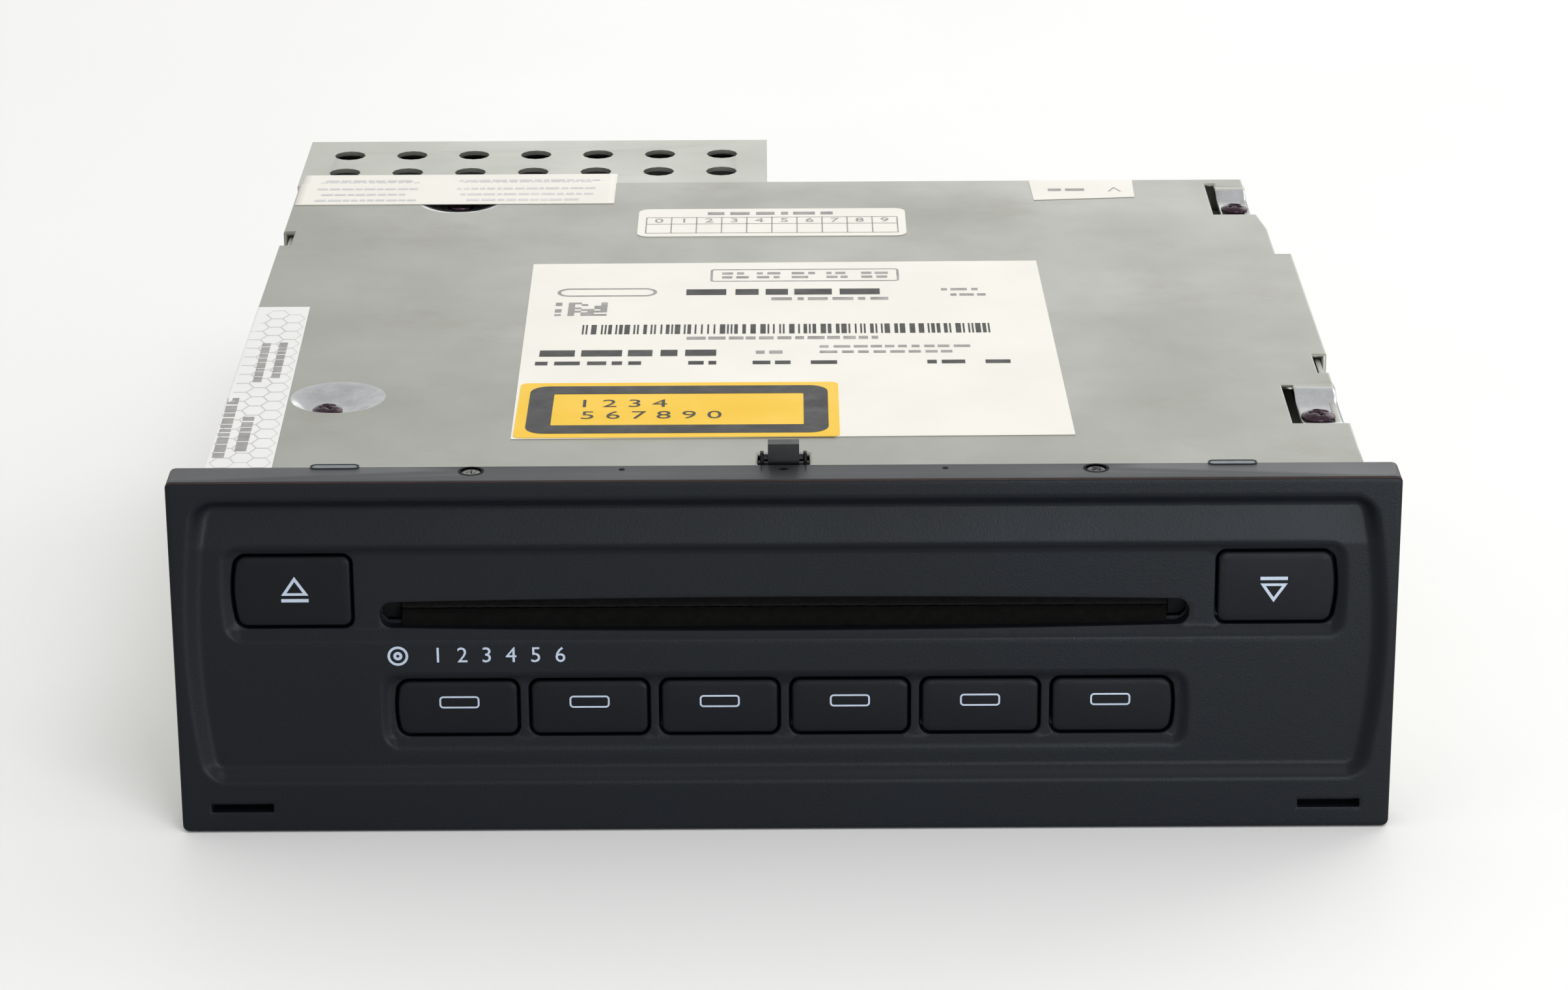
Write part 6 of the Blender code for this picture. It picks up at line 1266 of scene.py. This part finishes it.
def make_yellow_patch():
    """A yellow patch with a dark round-cornered frame and plain numbers."""
    left, bottom, right, top = YELLOW_PATCH
    level = COVER_TOP + PAPER_TOP
    add_label("yellow_patch", rounded_box(YELLOW_PATCH, PATCH_CORNER), level, "yellow_print")
    bm = bmesh.new()
    add_frame(bm, inset(YELLOW_PATCH, FRAME_INSET), FRAME_CORNER, FRAME_WIDTH, FRAME_INNER_CORNER)
    for text, u, v in PATCH_DIGITS:
        add_digits(bm, text, left + u, (bottom + top) / 2 + v, PATCH_DIGIT_HEIGHT)
    add_print("yellow_patch_marks", bm, level, "grey_ink")


def make_grid_label():
    """A small label with a numbered grid."""
    add_label("grid_label", rounded_box(GRID_LABEL, GRID_CORNER), COVER_TOP, "paper")
    bm = bmesh.new()
    add_words(bm, GRID_BAR, random.Random(GRID_SEED))
    left, right = GRID_LABEL[0] + GRID_MARGIN, GRID_LABEL[2] - GRID_MARGIN
    cell = (right - left) / GRID_CELLS
    for line in range(GRID_CELLS + 1):
        u = left + line * cell
        add_line(bm, (u, GRID_LEVELS[0]), (u, GRID_LEVELS[-1]), GRID_LINE)
    for v in GRID_LEVELS:
        add_line(bm, (left, v), (right, v), GRID_LINE)
    for number in range(GRID_CELLS):
        add_digits(bm, str(number), left + (number + 0.5) * cell, GRID_DIGIT_V, GRID_DIGIT_HEIGHT)
    add_print("grid_label_marks", bm, COVER_TOP, "faded_ink")


def make_corner_label():
    """A small label with a bar and an angle."""
    add_label("corner_label", list(CORNER_LABEL), COVER_TOP, "paper")
    bm = bmesh.new()
    add_words(bm, CORNER_BAR, random.Random(CORNER_SEED), LOOSE_SHARE)
    for start, end in zip(CORNER_MARK, CORNER_MARK[1:]):
        add_line(bm, start, end, CORNER_LINE)
    add_print("corner_label_marks", bm, COVER_TOP, "faded_ink")


# Labels that bend: the seal over the left edge and the one across the joint with the hood

SEAL_SEED = 7
SEAL_FRONT = 0.0070
SEAL_REAR = 0.0872
SEAL_INNER = (-0.0784, -0.0801)
SEAL_BEND = 0.0005
SEAL_DROP = 0.0080
SEAL_ROWS = 24
SEAL_STEPS = 6
HEXAGON = 0.0019
HEXAGON_STRETCH = 1.35
HEXAGON_STROKE = 0.00013
HEXAGON_COLUMNS = 6
HEXAGON_START_SHARE = 1.15
HEXAGON_STEP_SHARE = 1.5
HEXAGON_EDGE_SHARE = 0.6
SEAL_BARS = (
    # start, place across, length, height
    (0.0120, 0.0078, 0.0290, 0.0018), (0.0150, 0.0046, 0.0170, 0.0018), (0.0480, 0.0050, 0.0200, 0.0014),
    (0.0500, 0.0022, 0.0180, 0.0014), (0.0130, 0.0124, 0.0300, 0.0018), (0.0480, 0.0130, 0.0260, 0.0014),
)
REAR_SEED = 13
REAR_LABEL = (-0.0886, 0.1472, -0.0306, 0.1682)
REAR_LABEL_COLUMNS = 40
REAR_LABEL_ROWS = 42
JOINT_START = 0.1606
JOINT_END = 0.1616
REAR_LINES = 5
REAR_LINE_FROM = 0.1492
REAR_LINE_PITCH = 0.0036
REAR_LINE_HEIGHT = 0.0011
REAR_LINE_BLOCKS = ((-0.0860, -0.0660), (-0.0600, -0.0335))
REAR_LINE_INDENT = 0.003
JOINT_BEFORE = 0.0012
JOINT_AFTER = 0.0006


def seal_flat(distance):
    """Inner edge of the seal, and how far it lies flat on the cover before it bends."""
    share = (distance - SEAL_FRONT) / (SEAL_REAR - SEAL_FRONT)
    inner = SEAL_INNER[0] + (SEAL_INNER[1] - SEAL_INNER[0]) * share
    return inner, inner + COVER_HALF - SEAL_BEND


def folded(across, distance, lift):
    """A place on the seal: across is measured outwards from its inner edge, over the cover's left edge."""
    inner, flat = seal_flat(distance)
    bend = SEAL_BEND * math.pi / 2
    y = FACE_Y + distance
    if across < flat:
        return Vector((inner - across, y, COVER_TOP + lift))
    if across < flat + bend:
        angle = (across - flat) / SEAL_BEND
        reach = SEAL_BEND + lift
        return Vector((-COVER_HALF + SEAL_BEND - reach * math.sin(angle), y,
                       COVER_TOP - SEAL_BEND + reach * math.cos(angle)))
    return Vector((-COVER_HALF - lift, y, COVER_TOP - SEAL_BEND - (across - flat - bend)))


def add_bent_paper(name, place, columns_at, distances, finish, smooth=False):
    """A thin sheet. place is the point at (across, distance, lift), columns_at the columns there."""
    bm = bmesh.new()
    add_sheet(bm, *([[bm.verts.new(place(across, distance, lift)) for across in columns_at(distance)]
                     for distance in distances] for lift in (PAPER_LIFT, PAPER_TOP)))
    bmesh.ops.recalc_face_normals(bm, faces=list(bm.faces))
    add_piece(name, bm, finish, smooth=smooth)


def fold_print(name, bm, lift, finish):
    """Lay flat (across, distance) shapes on the seal."""
    lay(bm, lambda across, distance: folded(across, distance, lift))
    bmesh.ops.recalc_face_normals(bm, faces=list(bm.faces))
    add_piece(name, bm, finish)


def seal_stops(distance):
    """Places across the seal where its mesh has a line."""
    flat = seal_flat(distance)[1]
    bend = SEAL_BEND * math.pi / 2
    return (spaced(0, flat, SEAL_STEPS)[:-1] + spaced(flat, flat + bend, SEAL_STEPS)
            + spaced(flat + bend, flat + bend + SEAL_DROP, SEAL_STEPS)[1:])


def add_honeycomb(bm):
    """Columns of outlined hexagons, stretched along the seal."""
    pitch = HEXAGON * math.sqrt(3) * HEXAGON_STRETCH
    turns = [math.radians(60 * step) for step in range(6)]
    for column in range(HEXAGON_COLUMNS):
        u = HEXAGON * (HEXAGON_START_SHARE + HEXAGON_STEP_SHARE * column)
        v = SEAL_FRONT + pitch * (HEXAGON_EDGE_SHARE + 0.5 * (column % 2))
        while v < SEAL_REAR - pitch * HEXAGON_EDGE_SHARE:
            add_ring(bm, *([(u + size * math.cos(turn), v + size * HEXAGON_STRETCH * math.sin(turn))
                            for turn in turns] for size in (HEXAGON, HEXAGON - HEXAGON_STROKE)))
            v += pitch


def make_seal():
    """The pale seal over the left edge, with a honeycomb pattern and upright bars in place of words."""
    add_bent_paper("seal_label", folded, seal_stops, spaced(SEAL_FRONT, SEAL_REAR, SEAL_ROWS), "seal_film")
    pattern = bmesh.new()
    add_honeycomb(pattern)
    fold_print("seal_pattern", pattern, PAPER_TOP + INK_LIFT / 2, "seal_line")
    generator = random.Random(SEAL_SEED)
    bars = bmesh.new()
    for start, across, length, height in SEAL_BARS:
        add_words(bars, (start, across, start + length, across + height), generator, DENSE_SHARE)
    lay(bars, lambda distance, across: (across, distance, 0.0))
    fold_print("seal_bars", bars, PAPER_TOP + INK_LIFT, "faded_ink")


def on_joint(across, distance, lift):
    """A place above the sheet metal: the cover, then the lower hood."""
    share = eased((distance - JOINT_START) / (JOINT_END - JOINT_START))
    return across, FACE_Y + distance, COVER_TOP + (HOOD_TOP - COVER_TOP) * share + lift


def make_rear_label():
    """A pale label across the joint of the cover and the hood, with two blocks of faint bars."""
    left, front, right, rear = REAR_LABEL
    add_bent_paper("rear_label", on_joint, lambda distance: spaced(left, right, REAR_LABEL_COLUMNS),
                   spaced(front, rear, REAR_LABEL_ROWS), "paper", smooth=True)
    generator = random.Random(REAR_SEED)
    bars = bmesh.new()
    for line in range(REAR_LINES):
        base = REAR_LINE_FROM + line * REAR_LINE_PITCH
        if JOINT_START - JOINT_BEFORE < base < JOINT_END + JOINT_AFTER:
            base = JOINT_END + JOINT_AFTER
        for start, end in REAR_LINE_BLOCKS:
            indent = generator.uniform(0.0, REAR_LINE_INDENT)
            box = (start + indent, base, end - indent, base + REAR_LINE_HEIGHT)
            add_words(bars, box, generator, DENSE_SHARE)
    lay(bars, lambda across, distance: on_joint(across, distance, PAPER_TOP + INK_LIFT))
    add_piece("rear_label_bars", bars, "pale_ink")


# Pins in the socket: rows, columns, where they start in it, and their size

PIN_ROWS = 2
PIN_COLUMNS = 9
PIN_START = 0.0028
PIN_BLADE = (0.0018, 0.0100, 0.0007)


def make_socket_pins():
    """Two rows of flat pins in the socket at the back."""
    low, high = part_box("harness_socket")
    bm = bmesh.new()
    for row in range(PIN_ROWS):
        for column in range(PIN_COLUMNS):
            centre = Vector((low.x + (high.x - low.x) * (column + 1) / (PIN_COLUMNS + 1),
                             low.y + PIN_START + PIN_BLADE[1] / 2,
                             low.z + (high.z - low.z) * (row + 1) / (PIN_ROWS + 1)))
            place = Matrix.Translation(centre) @ Matrix.Diagonal((*PIN_BLADE, 1.0))
            bmesh.ops.create_cube(bm, size=1.0, matrix=place)
    add_piece("socket_pins", bm, "brass")


# The solids that show as they are

SMOOTH_ANGLE = math.radians(33)


def solid_smoothing():
    """A node group that shades a solid smoothly, except at its edges."""
    group = bpy.data.node_groups.new("solid_smoothing", "GeometryNodeTree")
    for side in ("INPUT", "OUTPUT"):
        group.interface.new_socket("Geometry", in_out=side, socket_type="NodeSocketGeometry")
    entry = add_node(group, "NodeGroupInput")
    merge = add_node(group, "GeometryNodeMergeByDistance", inputs={"Distance": MERGE_DISTANCE})
    plain = add_node(group, "GeometryNodeRemoveAttribute", inputs={"Name": "custom_normal"})
    faces = add_node(group, "GeometryNodeSetShadeSmooth", {"domain": "FACE"}, {"Shade Smooth": True})
    angle = add_node(group, "GeometryNodeInputMeshEdgeAngle")
    sharp = add_node(group, "FunctionNodeCompare", {"data_type": "FLOAT", "operation": "GREATER_THAN"})
    sharp.inputs[1].default_value = SMOOTH_ANGLE
    edges = add_node(group, "GeometryNodeSetShadeSmooth", {"domain": "EDGE"}, {"Shade Smooth": False})
    leave = add_node(group, "NodeGroupOutput")
    chain = (entry, merge, plain, faces, edges, leave)
    for before, after in zip(chain, chain[1:]):
        group.links.new(before.outputs[0], after.inputs[0])
    group.links.new(angle.outputs["Unsigned Angle"], sharp.inputs[0])
    group.links.new(sharp.outputs[0], edges.inputs["Selection"])
    return group


def dress_nodes():
    """Give every CAD node the material of its slot, or its own finish, and smooth shading."""
    smoothing = solid_smoothing()
    slots = {part["node"]: part["material_slot"] for part in frame["record"]["subparts"]}
    for name, obj in frame["nodes"].items():
        obj.data.materials.clear()
        obj.data.materials.append(materials[FINISHES.get(name, slots[name])])
        modifier = obj.modifiers.new("smoothing", "NODES")
        modifier.node_group = smoothing
        weights = obj.modifiers.new("weighted normals", "WEIGHTED_NORMAL")
        weights.keep_sharp = True


# Camera, light and floor

def make_camera():
    data = bpy.data.cameras.new("camera")
    data.lens = LENS
    camera = link("camera", data)
    turn = (Matrix.Rotation(CAMERA_YAW, 4, "Z") @ Matrix.Rotation(CAMERA_PITCH, 4, "X")
            @ Matrix.Rotation(CAMERA_ROLL, 4, "Y") @ Matrix.Rotation(math.radians(90), 4, "X"))
    camera.matrix_world = Matrix.Translation(CAMERA_PLACE) @ turn
    bpy.context.scene.camera = camera


def make_lamps():
    for name, place, target, size, power, color in LAMPS:
        data = bpy.data.lights.new(name, "AREA")
        data.energy = power
        data.shape = "RECTANGLE"
        data.size, data.size_y = size
        data.color = color
        lamp = link(name, data)
        lamp.location = place
        lamp.rotation_euler = (Vector(target) - Vector(place)).to_track_quat("-Z", "Y").to_euler()


def make_world():
    """White where the camera or a gloss sees it, and a plain level of light elsewhere."""
    world = bpy.data.worlds.new("studio")
    bpy.context.scene.world = world
    world.use_nodes = True
    tree = world.node_tree
    tree.nodes.clear()
    path = add_node(tree, "ShaderNodeLightPath")
    seen = path.outputs["Is Camera Ray"]
    for ray in ("Is Glossy Ray", "Is Transmission Ray"):
        either = add_node(tree, "ShaderNodeMath", {"operation": "MAXIMUM"})
        tree.links.new(seen, either.inputs[0])
        tree.links.new(path.outputs[ray], either.inputs[1])
        seen = either.outputs["Value"]
    ambient = add_node(tree, "ShaderNodeBackground",
                       inputs={"Color": AMBIENT_COLOR, "Strength": AMBIENT_STRENGTH})
    white = add_node(tree, "ShaderNodeBackground",
                     inputs={"Color": BACKGROUND_COLOR, "Strength": BACKGROUND_STRENGTH})
    mix = add_node(tree, "ShaderNodeMixShader")
    output = add_node(tree, "ShaderNodeOutputWorld")
    tree.links.new(seen, mix.inputs["Fac"])
    tree.links.new(ambient.outputs["Background"], mix.inputs[1])
    tree.links.new(white.outputs["Background"], mix.inputs[2])
    tree.links.new(mix.outputs["Shader"], output.inputs["Surface"])


def make_floor():
    bm = bmesh.new()
    add_box(bm, -FLOOR_HALF, -FLOOR_HALF, FLOOR_HALF, FLOOR_HALF)
    bm.transform(Matrix.Translation((0.0, 0.0, -FLOOR_SINK)))
    mesh = bpy.data.meshes.new("floor")
    bm.to_mesh(mesh)
    bm.free()
    mesh.materials.append(materials["floor_paint"])
    link("floor", mesh)


bpy.context.scene.view_settings.view_transform = "Standard"
make_camera()
make_lamps()
make_world()
make_floor()
dress_nodes()
make_bezel()
make_buttons()
pile_generator = random.Random(PILE_SEED)
make_pile("pile_lower", PILE_LOW, pile_generator)
make_pile("pile_upper", PILE_HIGH, pile_generator)
make_button_marks()
make_arrow("eject_symbol", "eject_button", 1)
make_arrow("load_symbol", "load_button", -1)
make_face_marks()
make_main_label()
make_grid_label()
make_cover()
make_dust_screen()
for screw in SCREWS:
    make_screw(*screw)
make_strip_trim()
make_seal()
make_rear_label()
make_corner_label()
make_socket_pins()
